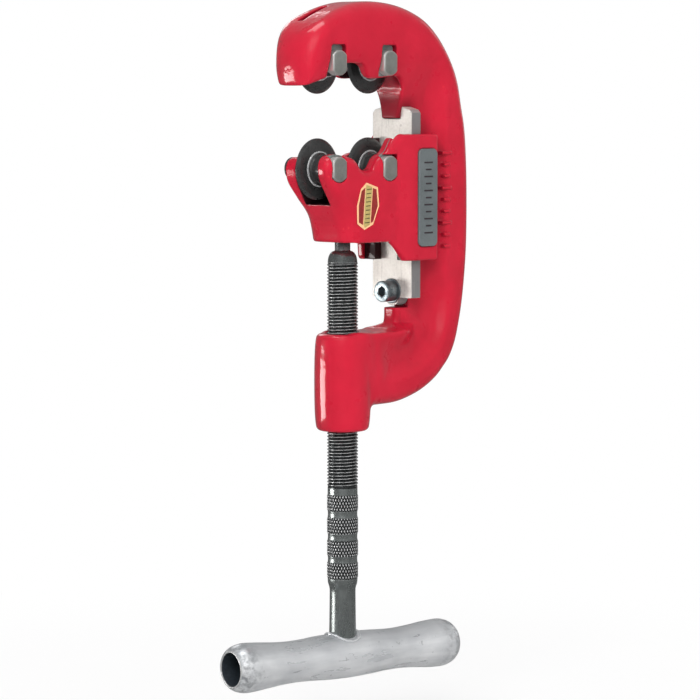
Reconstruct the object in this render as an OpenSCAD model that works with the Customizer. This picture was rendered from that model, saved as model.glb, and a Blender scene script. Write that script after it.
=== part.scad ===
// Four-wheel screw-feed pipe cutter: cast C-frame, sliding wheel housing,
// feed screw and tubular cross handle.
// +Z runs up along the feed screw, +X from the open side of the jaw to the
// column, Y along the wheel axles. The origin is the centre of the gripped pipe.
// Front is the -Y side, with the pin heads; back is the +Y side, with the clips.
// Outer wheels are on the open side (-X), inner wheels on the column side (+X).

/* [Cutter wheels] */
// Cutting edge diameter of every wheel
wheel_d = 31.75; // [29:0.25:33]
// Width of the wheel over its hub
wheel_hub_w = 16.4; // [14:0.2:16.6]
// Diameter of the wheel hub
wheel_hub_d = 16; // [14:0.5:18]
// Half spacing of the two wheels of a pair
wheel_x = 19.25; // [18.5:0.25:20]
// Height of a wheel axle above or below the pipe centre
wheel_z = 27.3; // [27:0.1:28]

/* [Wheel pins] */
// Diameter of the plain part of a wheel pin
pin_d = 9.5; // [8:0.1:10]
// Diameter of the pin head
pin_head_d = 13; // [12:0.1:13.6]
// Distance over the two flats of the head
pin_flats = 10.3; // [9.8:0.1:10.6]
// Thickness of the head
pin_head_t = 4.3; // [3.5:0.1:4.4]
// Radial clearance of a wheel on its pin
run_gap = 0.05; // [0.03:0.01:0.08]

/* [Frame] */
// Half width of the jaw over its cheeks
jaw_hw = 16.7; // [16.4:0.1:17.5]
// Half width of the column rim
rim_hw = 15; // [14:0.5:15.5]
// Thickness of the column web
web_t = 11.2; // [10:0.2:11.6]
// Width of a wheel pocket
pocket_w = 17; // [16.8:0.1:17.4]
// Largest diameter of the screw boss
boss_d = 29.6; // [28.5:0.2:31]
// Height of the top of the boss
boss_top = -113.4; // [-115:0.2:-112]
// Height of the bottom of the boss
boss_bottom = -164.4; // [-166:0.2:-162]

/* [Wear plate] */
// Face of the plate toward the screw, measured from the screw axis
plate_x = 38.4; // [38.2:0.1:38.6]
// Thickness of the plate
plate_t = 7.1; // [6.8:0.1:7.4]
// Half width of the plate
plate_hw = 14; // [13.8:0.1:14.2]
// Height of the top of the plate
plate_top = 3.6; // [2:0.2:5]
// Height of the square bottom edge of the plate
plate_bottom = -96.4; // [-98:0.2:-95]

/* [Sliding housing] */
// Half width over the cheeks
cheek_hw = 16.5; // [16.2:0.1:16.7]
// Half width over the guide walls
wall_hw = 19; // [18.6:0.1:19.6]
// Sliding clearance of the guide on the plate
slide_gap = 0.06; // [0.04:0.01:0.1]

/* [Feed screw] */
// Diameter over the thread
thread_d = 16.2; // [15.8:0.1:16.4]
// Pitch of the thread
pitch = 1.7; // [1.6:0.05:1.8]
// Diameter of the neck that enters the housing
neck_d = 8.1; // [7.8:0.1:8.4]
// Diameter of the shank below the grip bands
shank_d = 13.6; // [13:0.1:14]

/* [Handle] */
// Length of the cross handle
handle_l = 144; // [132:1:150]
// Height of the handle axis
handle_z = -283.6; // [-286:0.2:-280]
// Turn of the handle away from the frame plane, in degrees
handle_turn = 10; // [0:1:30]

/* [Hidden] */
red = [0.80, 0.15, 0.21];

wheel_r = wheel_d / 2;
hub_r = wheel_hub_d / 2;
pin_r = pin_d / 2;
pocket_r = 16.8;
pocket_inset = 0.05;  // flat pocket walls stop this far short of the pocket radius
pin_seat = 12.5;      // distance of the pin head seat in front of the mid plane
head_gap = 0.1;
head_slot_w = pin_flats + 2 * head_gap;
head_slot_depth = 10;
clip_y = 17;
clip_t = 0.9;
clip_groove_r = 4;

web_x = 36;           // face of the web toward the screw
guide_face = plate_x - slide_gap;
stop_z = -93;         // axis height of the stop screw

neck_r = neck_d / 2;
neck_bore_top = -50;
retaining_x = 4.2;
retaining_z = -59.5;
shank_r = shank_d / 2;
shank_end = handle_z + 0.6;

// ---------- helpers ----------
// Catmull-Rom point between start and end; t runs from 0 to 1
function curve_point(before, start, end, after, t) = 0.5 * ((2 * start) + (end - before) * t
  + (2 * before - 5 * start + 4 * end - after) * t * t
  + (3 * start - before - 3 * end + after) * t * t * t);
// Curve through control points, with a number of steps per span
function spline(points, steps) = let (last = len(points) - 1) concat(
  [for (i = [0 : last - 1], k = [0 : steps - 1])
    curve_point(points[max(i - 1, 0)], points[i], points[i + 1],
      points[min(i + 2, last)], k / steps)],
  [points[last]]);
// Points in reverse order with the second coordinate negated
function reflected(points) =
  [for (i = [len(points) - 1 : -1 : 0]) [points[i][0], -points[i][1]]];

// Extrude an X-Z outline symmetrically about the mid plane
module slab(half_w)
  rotate([90, 0, 0]) linear_extrude(height = 2 * half_w, center = true) children();
// Extrude an X-Z outline between y0 and y1
module slab_between(y0, y1)
  translate([0, y1, 0]) rotate([90, 0, 0]) linear_extrude(height = y1 - y0) children();
// The same on both sides of the mid plane
module side_slabs(y0, y1) {
  slab_between(-y1, -y0) children();
  slab_between(y0, y1) children();
}
// Box centred on the mid plane, given by its X and Z spans
module mid_box(x_span, width, z_span) translate([x_span[0], -width / 2, z_span[0]])
  cube([x_span[1] - x_span[0], width, z_span[1] - z_span[0]]);
// Solid of revolution about a Y axle; profile x is radius, y is position along Y
module axle_revolve(x, z)
  translate([x, 0, z]) rotate([-90, 0, 0]) rotate_extrude($fn = 96) children();
// Round bar along Y
module y_bar(x, z, y0, y1, d)
  translate([x, y0, z]) rotate([-90, 0, 0]) cylinder(h = y1 - y0, d = d, $fn = 64);
// Turn local Z onto the stop screw axis, starting at x
module stop_axis(x) translate([x, 0, stop_z]) rotate([0, 90, 0]) children();

// Room for the two discs of a wheel pair; level is 1 for upper, -1 for lower
module wheel_pocket(level) for (side = [-1, 1])
  y_bar(side * wheel_x, level * wheel_z, -pocket_w / 2, pocket_w / 2, 2 * pocket_r);
// Bores of a pin pair and the front slots for their flatted heads
module pin_cuts(level, slot_bottom, slot_top) for (side = [-1, 1]) {
  y_bar(side * wheel_x, level * wheel_z, -30, 30, pin_d + 0.04);
  translate([side * wheel_x - head_slot_w / 2, -pin_seat - head_slot_depth, slot_bottom])
    cube([head_slot_w, head_slot_depth, slot_top - slot_bottom]);
}

// ---------- frame ----------
// Outline points are [x, z].
// From under the boss, up the column and over the jaw to the tip of the nose
outer_edge = [
  [8, -151.8], [20, -151.8], [31, -151.4], [41, -149.3], [51, -146], [60.5, -141],
  [67, -135.6], [72, -130.4], [76.5, -122.6], [79.6, -113], [82.4, -101], [84.6, -86],
  [86, -70], [86.4, -50], [86, -28], [84.4, -8], [81.2, 6], [77.4, 18], [72.4, 28.5],
  [66.6, 37.2], [59.6, 44.6], [51.4, 50.6], [41.6, 54.8], [30, 57.8], [17, 59.2], [4, 59],
  [-8, 56.8], [-20, 52.6], [-30, 47.6], [-37, 41.6], [-41, 34.6], [-42.4, 27.6],
  [-41.4, 21.4], [-39, 16.8]];
// Underside of the jaw, from the nose to its middle
nose_underside = [[-37.4, 15.8], [-24.6, 19.6], [-24.6, 27], [-14, 27.2], [-1, 27.2]];
// Underside below the inner pin, then down to the web
inner_pin_edge = [
  [-1, 27.2], [2.2, 25.6], [5, 21.6], [8, 19.6], [14, 19.3], [24, 20.4], [30, 20.6],
  [33.6, 17.6], [web_x, 11], [web_x, 2]];
// Inside corner between the web and the screw boss
bend_edge = [[web_x, -100], [35.6, -106], [33, -110.6], [28, -113], [20, -113.4], [8, -113.4]];
nose_x = -25.7;       // centre of the nose rounding

groove_x = 57.5;      // column end of the side grooves
groove_start_x = 20;
groove_bottom = -108;
groove_top = 17;      // where the rounded upper corner starts
groove_corner_r = 10;

module frame_outline() polygon(concat(spline(outer_edge, 4), nose_underside,
  spline(inner_pin_edge, 3), spline(bend_edge, 3)));

// Barrel-shaped boss around the feed screw
module screw_boss() rotate_extrude($fn = 96) polygon(concat(
  [[0, boss_bottom], [11.4, boss_bottom]],
  spline([[12.6, boss_bottom + 1.0], [13.8, boss_bottom + 6], [14.5, boss_bottom + 15],
    [boss_d / 2, (boss_top + boss_bottom) / 2],
    [14.5, boss_top - 14], [14, boss_top - 5], [13, boss_top - 0.8]], 3),
  [[12.2, boss_top], [0, boss_top]]));

// Cuts the nose to a round plan, seen along Z
module nose_cut() translate([0, 0, 5]) linear_extrude(height = 60) difference() {
  translate([-60, -30]) square([42, 60]);
  translate([nose_x, 0]) circle(r = jaw_hw, $fn = 96);
  translate([nose_x, -jaw_hw]) square([30, 2 * jaw_hw]);
}

// Side grooves that the housing lips run in
module side_grooves() side_slabs(web_t / 2, 40) union() {
  translate([groove_start_x, groove_bottom])
    square([groove_x - groove_start_x, groove_top - groove_bottom]);
  translate([groove_x - groove_corner_r, groove_top]) circle(r = groove_corner_r, $fn = 48);
  translate([groove_start_x, groove_top])
    square([groove_x - groove_corner_r - groove_start_x, groove_corner_r]);
}

module frame() color(red) difference() {
  union() {
    // jaw, full width
    intersection() {
      slab(jaw_hw) frame_outline();
      mid_box([-50, 56], 40, [10, 70]);
    }
    // column rim and lower bend
    intersection() {
      slab(rim_hw) frame_outline();
      mid_box([-10, 100], 40, [-160, 70]);
    }
    screw_boss();
  }
  nose_cut();
  side_grooves();
  // open space on the screw side of the web, then the seat of the wear plate
  mid_box([20, web_x], 40, [-112, 2]);
  mid_box([30, plate_x + plate_t], 40, [-101.6, -1.6]);
  // shallow notches beside the web, level with the top of the plate
  for (y = [web_t / 2, -web_t / 2 - 20]) translate([30, y, -2]) cube([30, 20, 5]);
  // wheel pocket, open below
  wheel_pocket(1);
  mid_box([-wheel_x - pocket_r, wheel_x + pocket_r - pocket_inset], pocket_w, [4, wheel_z]);
  mid_box([-wheel_x, wheel_x], pocket_w, [wheel_z - 1, wheel_z + 11]);
  // head slots open at the lower edge of the front cheek
  pin_cuts(1, 8, wheel_z + 9);
  // tilted rectangular recess in the top of the nose
  translate([-16, 0, 57]) rotate([0, 25, 0]) cube([14, 8, 9], center = true);
  // bore of the screw boss
  translate([0, 0, boss_bottom - 1]) cylinder(h = 60, d = thread_d + 2 * run_gap, $fn = 96);
  // hole of the stop screw, in the web
  stop_axis(30) cylinder(h = 26, d = 6.04, $fn = 48);
  // soft recess in each side of the lower bend; centres are [x, z]
  for (side = [-1, 1], centre = [[46, -125], [32, -132]])
    translate([centre[0], side * (rim_hw + 33.5), centre[1]]) sphere(r = 36, $fn = 96);
}

// ---------- wear plate and its screw ----------
plate_notch_hw = web_t / 2 + 0.1;
plate_notch_z = plate_top - 5.3;
washer_x = plate_x - 1;

module wear_plate() color([0.86, 0.85, 0.82]) difference() {
  union() {
    // Y-Z outline with a notch for the web at the top
    translate([plate_x, 0, 0]) rotate([90, 0, 90]) linear_extrude(height = plate_t) polygon([
      [-plate_hw, plate_bottom], [plate_hw, plate_bottom],
      [plate_hw, plate_top - 2.4], [plate_hw - 1.6, plate_top - 0.6],
      [plate_notch_hw, plate_top + 1.2], [plate_notch_hw, plate_notch_z],
      [-plate_notch_hw, plate_notch_z], [-plate_notch_hw, plate_top + 1.2],
      [-plate_hw + 1.6, plate_top - 0.6], [-plate_hw, plate_top - 2.4]]);
    // rounded tongue under the stop screw
    translate([plate_x, 0, plate_bottom + 0.6]) rotate([0, 90, 0])
      cylinder(h = plate_t, r = 5, $fn = 64);
  }
  stop_axis(plate_x - 1) cylinder(h = plate_t + 2, d = 6.6, $fn = 48);
}

// Socket screw with its head toward the feed screw
module stop_screw() color([0.62, 0.66, 0.68]) stop_axis(0) difference() {
  union() {
    translate([0, 0, plate_x - 8]) cylinder(h = 6.98, d = 11.1, $fn = 64);
    translate([0, 0, plate_x - 1.02]) cylinder(h = 18, d = 6, $fn = 48);
  }
  translate([0, 0, plate_x - 9]) cylinder(h = 5, d = 5.8, $fn = 6);
}

module stop_washer() color([0.75, 0.75, 0.74]) stop_axis(washer_x) difference() {
  cylinder(h = 0.98, d = 13.2, $fn = 64);
  translate([0, 0, -1]) cylinder(h = 3, d = 6.5, $fn = 48);
}

// ---------- sliding housing ----------
cheek_bottom = -65.6;
lip_x = 54;           // column end of the guide walls
wall_inner_hw = 13.6;
web_slot_hw = 6.2;    // half width of the slot that straddles the web
pocket_floor = -wheel_z - pocket_r + pocket_inset;
// Open-side edge of the cheeks, downward, as [x, z]
cheek_edge = [
  [-28.2, -27.3], [-27.2, -31.4], [-25, -35.4], [-21.8, -40], [-18.6, -45],
  [-15.2, -50.6], [-12.2, -57], [-10, cheek_bottom]];

module cheek_outline() difference() {
  union() {
    translate([-wheel_x, -wheel_z]) circle(r = 8.95, $fn = 64);
    polygon(concat(spline(cheek_edge, 3), [
      [guide_face, cheek_bottom], [guide_face, -20], [wheel_x, -18.6], [11, -19.6],
      [4, -22], [0, -26.8], [-11, -27.4], [-19, -20]]));
  }
  translate([-6, -19.2]) circle(r = 8, $fn = 64);
}

module wall_outline() polygon(concat(
  [[19.4, -66.4], [29.8, -76.4], [lip_x - 1, -76.4], [lip_x, -75.4],
   [lip_x, -10], [lip_x - 1, -9], [29, -9], [25, -10.6]],
  spline([[22, -14], [20.4, -17], [16, -20], [14, -26]], 3)));

module slide_housing() color(red) difference() {
  union() {
    slab(cheek_hw) cheek_outline();
    side_slabs(wall_inner_hw, wall_hw) wall_outline();
    // lips behind the wear plate
    side_slabs(web_slot_hw, 15) translate([46, -75.6]) square([lip_x - 46, 66]);
  }
  // rounded plan of the lower nose
  translate([0, 0, -70]) linear_extrude(height = 24.4) difference() {
    translate([-40, -30]) square([31.5, 60]);
    translate([-8.4, 0]) circle(r = cheek_hw, $fn = 96);
  }
  // wheel pocket, open above
  wheel_pocket(-1);
  mid_box([-36, wheel_x + pocket_r - pocket_inset], pocket_w, [-wheel_z, 30 - wheel_z]);
  mid_box([-36, 0], pocket_w, [pocket_floor, pocket_floor + 30]);
  mid_box([-wheel_x, wheel_x], pocket_w, [pocket_floor, pocket_floor + 30]);
  // guide channel on the wear plate, and the slot for the web
  mid_box([guide_face, plate_x + plate_t + slide_gap], 2 * (plate_hw + slide_gap), [-100, 20]);
  mid_box([guide_face, guide_face + 30], 2 * web_slot_hw, [-100, 20]);
  // open space between the guide walls, below and above the cheeks
  mid_box([-40, guide_face], 2 * wall_inner_hw, [-100, cheek_bottom]);
  mid_box([24, plate_x], 2 * wall_inner_hw, [-17.6, 2.4]);
  mid_box([31, plate_x], 14, [-22.8, -2.8]);
  // relief for the head of the stop screw
  mid_box([plate_x - 9, plate_x + 1], 14, [-67, -55.6]);
  // blind bore of the screw neck
  translate([0, 0, neck_bore_top - 20]) cylinder(h = 20, d = neck_d + 0.12, $fn = 64);
  // pin bores, and head slots open above with rounded lower ends
  pin_cuts(-1, -wheel_z, 20 - wheel_z);
  for (side = [-1, 1])
    translate([side * wheel_x, -pin_seat, -wheel_z]) rotate([90, 0, 0]) intersection() {
      cylinder(h = head_slot_depth, d = pin_head_d + 0.4, $fn = 64);
      translate([-head_slot_w / 2, -10, -1]) cube([head_slot_w, 20, 12]);
    }
  // spot face for the clip of the inner pin
  translate([wheel_x, cheek_hw, -wheel_z]) rotate([-90, 0, 0])
    cylinder(h = 10, r = 7.6, $fn = 64);
  // blind cross holes for the retaining pins, drilled from the back
  for (side = [-1, 1]) y_bar(side * retaining_x, retaining_z, -9, 30, 2.6);
  // shallow seat of the badge
  badge_plate(5, 0.05);
}

// Plate with rounded corners on the front guide wall, long side along Z
badge_w = 14.4;
badge_l = 51.4;
badge_corner_r = 3;
badge_flat_w = badge_w - 2 * badge_corner_r;
badge_flat_l = badge_l - 2 * badge_corner_r;
module badge_plate(thickness, grow)
  translate([45.3, -wall_hw + 0.5, -43.2]) rotate([90, 0, 0])
    linear_extrude(height = thickness) union() {
      square([badge_w + 2 * grow, badge_flat_l + 2 * grow], center = true);
      square([badge_flat_w, badge_l + 2 * grow], center = true);
      for (i = [-1, 1], j = [-1, 1])
        translate([i * badge_flat_w / 2, j * badge_flat_l / 2])
          circle(r = badge_corner_r + grow, $fn = 48);
    }
module guide_badge() color([0.5, 0.53, 0.54]) badge_plate(1.3, 0);

// Thin label on the front cheek
module rating_label() color([0.86, 0.62, 0.42])
  translate([2, -cheek_hw, -46.6]) rotate([90, 0, 0]) linear_extrude(height = 0.25)
    polygon([[-1.4, 12.2], [-5.6, 9], [-8.6, 0.4], [-8.4, -9],
      [-3, -12.2], [3.6, -9.6], [8.2, 0], [7.2, 9.6]]);

// ---------- wheels, pins and clips ----------
// Front half of the wheel section as [radius, y], from the bore to the edge
wheel_half = [
  [pin_r + run_gap, -wheel_hub_w / 2], [hub_r - 0.6, -wheel_hub_w / 2],
  [hub_r, -wheel_hub_w / 2 + 0.6], [hub_r, -3.1], [hub_r + 0.9, -2.5],
  [wheel_r - 2.2, -1.7], [wheel_r, -0.12]];
module cutter_wheel(x, z) color([0.17, 0.18, 0.18])
  axle_revolve(x, z) polygon(concat(wheel_half, reflected(wheel_half)));
module wheel_upper_outer() cutter_wheel(-wheel_x, wheel_z);
module wheel_upper_inner() cutter_wheel(wheel_x, wheel_z);
module wheel_lower_outer() cutter_wheel(-wheel_x, -wheel_z);
module wheel_lower_inner() cutter_wheel(wheel_x, -wheel_z);

// Pin with a double-flat head at the front and a clip groove at the back
pin_head_r = pin_head_d / 2;
module wheel_pin(x, z) color([0.6, 0.6, 0.59]) union() {
  axle_revolve(x, z) polygon([
    [0, -pin_seat - 0.02], [pin_r, -pin_seat - 0.02],
    [pin_r, clip_y - 0.05], [clip_groove_r, clip_y - 0.05],
    [clip_groove_r, clip_y + clip_t + 0.05], [pin_r, clip_y + clip_t + 0.05],
    [pin_r, 18.8], [pin_r - 0.6, 19.4], [0, 19.4]]);
  intersection() {
    axle_revolve(x, z) polygon([
      [0, -pin_seat - pin_head_t], [pin_head_r - 0.9, -pin_seat - pin_head_t],
      [pin_head_r, -pin_seat - pin_head_t + 0.9], [pin_head_r, -pin_seat - 0.01],
      [0, -pin_seat - 0.01]]);
    translate([x - pin_flats / 2, -30, z - 10]) cube([pin_flats, 30, 20]);
  }
}
module pin_upper_outer() wheel_pin(-wheel_x, wheel_z);
module pin_upper_inner() wheel_pin(wheel_x, wheel_z);
module pin_lower_outer() wheel_pin(-wheel_x, -wheel_z);
module pin_lower_inner() wheel_pin(wheel_x, -wheel_z);

// Spring clip, open below, seated in the groove behind the back cheek
clip_r = 5.9;
clip_opening = 5.2;
module pin_clip(x, z) color([0.35, 0.36, 0.37]) difference() {
  axle_revolve(x, z) polygon([
    [clip_groove_r + 0.03, clip_y], [clip_r, clip_y],
    [clip_r, clip_y + clip_t], [clip_groove_r + 0.03, clip_y + clip_t]]);
  translate([x - clip_opening / 2, clip_y - 1, z - 12]) cube([clip_opening, 3, 12]);
}
module clip_upper_outer() pin_clip(-wheel_x, wheel_z);
module clip_upper_inner() pin_clip(wheel_x, wheel_z);
module clip_lower_outer() pin_clip(-wheel_x, -wheel_z);
module clip_lower_inner() pin_clip(wheel_x, -wheel_z);

// ---------- feed screw ----------
neck_top = -54.05;
neck_groove_r = 2.85;
neck_groove_hw = 1.4;
shoulder_r = 7.35;
shoulder_top = -70.4;
shoulder_h = 6.2;
thread_r = thread_d / 2;
thread_depth = 0.72;
thread_top = -77;
thread_end = -193.6;
turns = floor((thread_top - thread_end) / pitch);
band_top = -198.2;
band_pitch = 11.93;
band_l = 8.5;
// Corners of one grip band: [depth below the thread radius, distance down]
band_corners = [[0.45, 0], [0, 0.3], [0, band_l], [0.45, band_l + 0.3]];

// The thread is a stack of rings, not a helix; profile points are [radius, z]
module feed_screw() color([0.2, 0.2, 0.2]) rotate_extrude($fn = 96) polygon(concat(
  // neck with the groove of the retaining pins
  [[0, neck_top], [neck_r - 0.5, neck_top], [neck_r, neck_top - 0.5],
   [neck_r, retaining_z + neck_groove_hw], [neck_groove_r, retaining_z + neck_groove_hw],
   [neck_groove_r, retaining_z - neck_groove_hw], [neck_r, retaining_z - neck_groove_hw],
   [neck_r, shoulder_top]],
  // rounded shoulder
  [for (k = [1 : 8]) [neck_r + (shoulder_r - neck_r) * sin(90 * k / 8),
    shoulder_top - shoulder_h * (1 - cos(90 * k / 8))]],
  // thread, a root and a crest per turn
  [for (i = [0 : turns - 1], crest = [0, 1])
    [thread_r - thread_depth * (1 - crest), thread_top - pitch * (i + 0.5 * crest)]],
  [[thread_r - thread_depth, thread_end], [thread_r - 0.25, thread_end - 0.6],
   [thread_r - 0.25, band_top]],
  // four grip bands
  [for (i = [0 : 3], corner = band_corners)
    [thread_r - corner[0], band_top - band_pitch * i - corner[1]]],
  // shank
  [[shank_r + 0.4, -246.6], [shank_r, -248.4], [shank_r, shank_end], [0, shank_end]]));

// Washer at the end of the blind bore, and the ball it bears on
thrust_washer_t = 0.96;
thrust_washer_z = neck_bore_top - 0.02 - thrust_washer_t;
ball_d = 3;
module thrust_washer() color([0.5, 0.5, 0.5]) translate([0, 0, thrust_washer_z])
  cylinder(h = thrust_washer_t, d = neck_d, $fn = 64);
module thrust_ball() color([0.7, 0.7, 0.72])
  translate([0, 0, thrust_washer_z - 0.04 - ball_d / 2]) sphere(d = ball_d, $fn = 64);

module retaining_pins() color([0.3, 0.3, 0.31]) for (side = [-1, 1])
  y_bar(side * retaining_x, retaining_z, -8.9, 15.4, 2.58);

// ---------- handle ----------
handle_half = handle_l / 2;
// Half of the tube's outside: [distance from the middle, radius], scaled to the length
tube_stations = [
  [0, 12.1], [14, 11.8], [25, 11.15], [33, 10.9], [41, 11.15], [50, 11.95],
  [57, 12.6], [62.5, 12.85], [67.5, 12.3], [70.8, 10.9], [72, 9.6]];
last_station = len(tube_stations) - 1;
tube_side = [for (station = tube_stations)
  [station[1], station[0] * handle_half / tube_stations[last_station][0]]];
// Half of the tube's bore as [radius, distance from the middle]
bore_side = [
  [8.75, handle_half], [8.75, handle_half - 8], [9.4, handle_half - 12],
  [9, handle_half - 30], [9, 12]];

// Turn local Z onto the handle axis
module handle_axis() translate([0, 0, handle_z])
  rotate([0, 0, -handle_turn]) rotate([0, 90, 0]) children();

module handle_tube() color([0.66, 0.67, 0.66]) difference() {
  handle_axis() rotate_extrude($fn = 96) polygon(concat(
    spline(concat(reflected([for (i = [1 : last_station]) tube_side[i]]), tube_side), 3),
    bore_side, reflected(bore_side)));
  // hole for the screw shank
  translate([0, 0, shank_end]) cylinder(h = 20, d = shank_d + 0.04, $fn = 64);
}

// Ring round the shank, hollowed below to sit on the tube
module handle_collar() color([0.42, 0.42, 0.41]) difference() {
  translate([0, 0, handle_z]) rotate_extrude($fn = 96) polygon([
    [shank_r + 0.02, 7.2], [shank_r + 2.4, 7.2], [shank_r + 2.4, 12.3],
    [shank_r + 1.7, 13.1], [shank_r + 0.02, 13.4]]);
  handle_axis() cylinder(h = 60, r = 12.15, center = true, $fn = 96);
}

frame();
wear_plate();
stop_screw();
stop_washer();
slide_housing();
guide_badge();
rating_label();
wheel_upper_outer();
wheel_upper_inner();
wheel_lower_outer();
wheel_lower_inner();
pin_upper_outer();
pin_upper_inner();
pin_lower_outer();
pin_lower_inner();
clip_upper_outer();
clip_upper_inner();
clip_lower_outer();
clip_lower_inner();
feed_screw();
thrust_washer();
thrust_ball();
retaining_pins();
handle_tube();
handle_collar();
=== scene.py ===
"""Four-wheel pipe cutter.

The feed screw runs along Z, with the jaw above it and the handle tube across its lower end.
The column of the frame stands at +X and the open side of the jaw faces -X. The sliding
housing is guided by a wear plate on the column. The badge and the label are on the -Y side.
Shape dimensions are in millimetres; the stage, lights and camera are in metres.
"""

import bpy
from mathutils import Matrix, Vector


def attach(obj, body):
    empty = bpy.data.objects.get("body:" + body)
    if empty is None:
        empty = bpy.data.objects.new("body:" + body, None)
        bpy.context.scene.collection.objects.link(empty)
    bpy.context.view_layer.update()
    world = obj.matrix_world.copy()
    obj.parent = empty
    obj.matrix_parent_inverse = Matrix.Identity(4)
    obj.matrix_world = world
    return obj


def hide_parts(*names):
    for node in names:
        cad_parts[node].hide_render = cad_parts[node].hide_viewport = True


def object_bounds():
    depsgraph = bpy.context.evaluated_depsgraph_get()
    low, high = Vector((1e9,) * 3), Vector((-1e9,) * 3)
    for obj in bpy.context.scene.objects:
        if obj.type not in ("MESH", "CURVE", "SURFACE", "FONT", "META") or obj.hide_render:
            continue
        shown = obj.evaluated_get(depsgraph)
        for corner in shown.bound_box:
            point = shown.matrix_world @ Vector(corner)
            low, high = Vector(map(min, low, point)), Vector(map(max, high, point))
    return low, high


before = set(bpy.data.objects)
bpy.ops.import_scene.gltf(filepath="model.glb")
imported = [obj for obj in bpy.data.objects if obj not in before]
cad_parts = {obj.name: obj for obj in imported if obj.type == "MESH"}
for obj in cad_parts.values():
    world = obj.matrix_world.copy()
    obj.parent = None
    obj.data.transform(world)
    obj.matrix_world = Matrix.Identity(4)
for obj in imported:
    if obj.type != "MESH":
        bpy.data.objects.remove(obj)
CAD_LO, CAD_HI = [list(map(float, v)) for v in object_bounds()]

import math
from functools import reduce
from itertools import product

import bmesh
import bpy
import numpy as np
from mathutils import Matrix, Vector, noise

MM = 0.001

# Wheels sit at (+-WHEEL_X, +-WHEEL_Z): the upper pair in the frame, the lower in the housing
WHEEL_X, WHEEL_Z, WHEEL_R = 19.25, 27.3, 15.875
POCKET_OUTER_R = 16.8       # lobe of the wheel pocket at -X
POCKET_INNER_R = 16.7       # lobe at +X
POCKET_HALF = 8.5           # half the width of the pocket along Y
PIN_BORE_R = 4.78
SLOT_Y = -12.5              # floor of the slots for the pin heads
CHANNEL_X = 38.34           # face of the housing's guide channel towards the screw
BADGE_X, BADGE_Z = 45.3, -43.2

# Handle tube: centre height and direction, turned about Z
HANDLE_Z = -283.6
HANDLE_TURN = math.radians(10)
HANDLE_AXIS = np.array([math.cos(HANDLE_TURN), -math.sin(HANDLE_TURN), 0.0])
HANDLE_SIDE = np.array([math.sin(HANDLE_TURN), math.cos(HANDLE_TURN), 0.0])


# ------------------------------------------------------------------ shader nodes
class Nodes:
    """Fills a node tree. An input takes either a socket to link or a plain value."""

    def __init__(self, tree, output_kind):
        self.tree = tree
        tree.nodes.clear()
        self.output = self.add(output_kind)

    def feed(self, target, inputs):
        for key, value in inputs.items():
            if isinstance(value, bpy.types.NodeSocket):
                self.tree.links.new(value, target.inputs[key])
            else:
                target.inputs[key].default_value = value

    def add(self, kind, inputs=None, **settings):
        made = self.tree.nodes.new("ShaderNode" + kind)
        for key, value in settings.items():
            setattr(made, key, value)
        self.feed(made, inputs or {})
        return made

    def coords(self, stretch=(1, 1, 1), turn=None):
        """Object coordinates in millimetres, turned about Z before they are stretched"""
        vector = self.add("TexCoord").outputs["Object"]
        if turn is None:
            scale = [s * 1000 for s in stretch]
            return self.add("Mapping", {"Vector": vector, "Scale": scale}).outputs[0]
        inputs = {"Vector": vector, "Rotation": (0, 0, turn),
                  "Scale": [1 / (s * 1000) for s in stretch]}
        return self.add("Mapping", inputs, vector_type="TEXTURE").outputs[0]

    def noise(self, vector, scale, detail=3.0, rough=0.5, distort=0.0):
        return self.add("TexNoise", {"Vector": vector, "Scale": scale, "Detail": detail,
                                     "Roughness": rough, "Distortion": distort}).outputs[0]

    def ramp(self, value, *stops):
        """Colour ramp through two (position, colour) stops"""
        made = self.add("ValToRGB", {0: value})
        for element, (position, colour) in zip(made.color_ramp.elements, stops):
            element.position = position
            element.color = (*colour, 1)
        return made.outputs[0]

    def remap(self, value, span, to, **settings):
        return self.add("MapRange", {0: value, "From Min": span[0], "From Max": span[1],
                                     "To Min": to[0], "To Max": to[1]}, **settings).outputs[0]

    def calc(self, operation, *values):
        return self.add("Math", dict(enumerate(values)), operation=operation).outputs[0]

    def mix(self, base, colour, amount):
        inputs = {0: amount, 6: base, 7: (*colour, 1)}
        return self.add("Mix", inputs, data_type="RGBA").outputs[2]

    def tint(self, base, colour, driver, span, amount):
        """Mixes a colour in as the driver crosses its span"""
        return self.mix(base, colour, self.remap(driver, span, amount))

    def bump(self, height, strength, depth, below=None):
        inputs = {"Strength": strength, "Distance": depth * MM, "Height": height}
        if below is not None:
            inputs["Normal"] = below
        return self.add("Bump", inputs).outputs[0]

    def attribute(self, name):
        return self.add("Attribute", attribute_name=name).outputs["Fac"]

    def pointiness(self):
        return self.add("NewGeometry").outputs["Pointiness"]

    def normal_part(self, axis):
        normal = self.add("NewGeometry").outputs["Normal"]
        return self.add("SeparateXYZ", {0: normal}).outputs[axis]


def new_material(name):
    material = bpy.data.materials.new(name)
    material.use_nodes = True
    nodes = Nodes(material.node_tree, "OutputMaterial")
    shader = nodes.add("BsdfPrincipled")
    nodes.feed(nodes.output, {0: shader.outputs[0]})
    return material, nodes, shader


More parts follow.
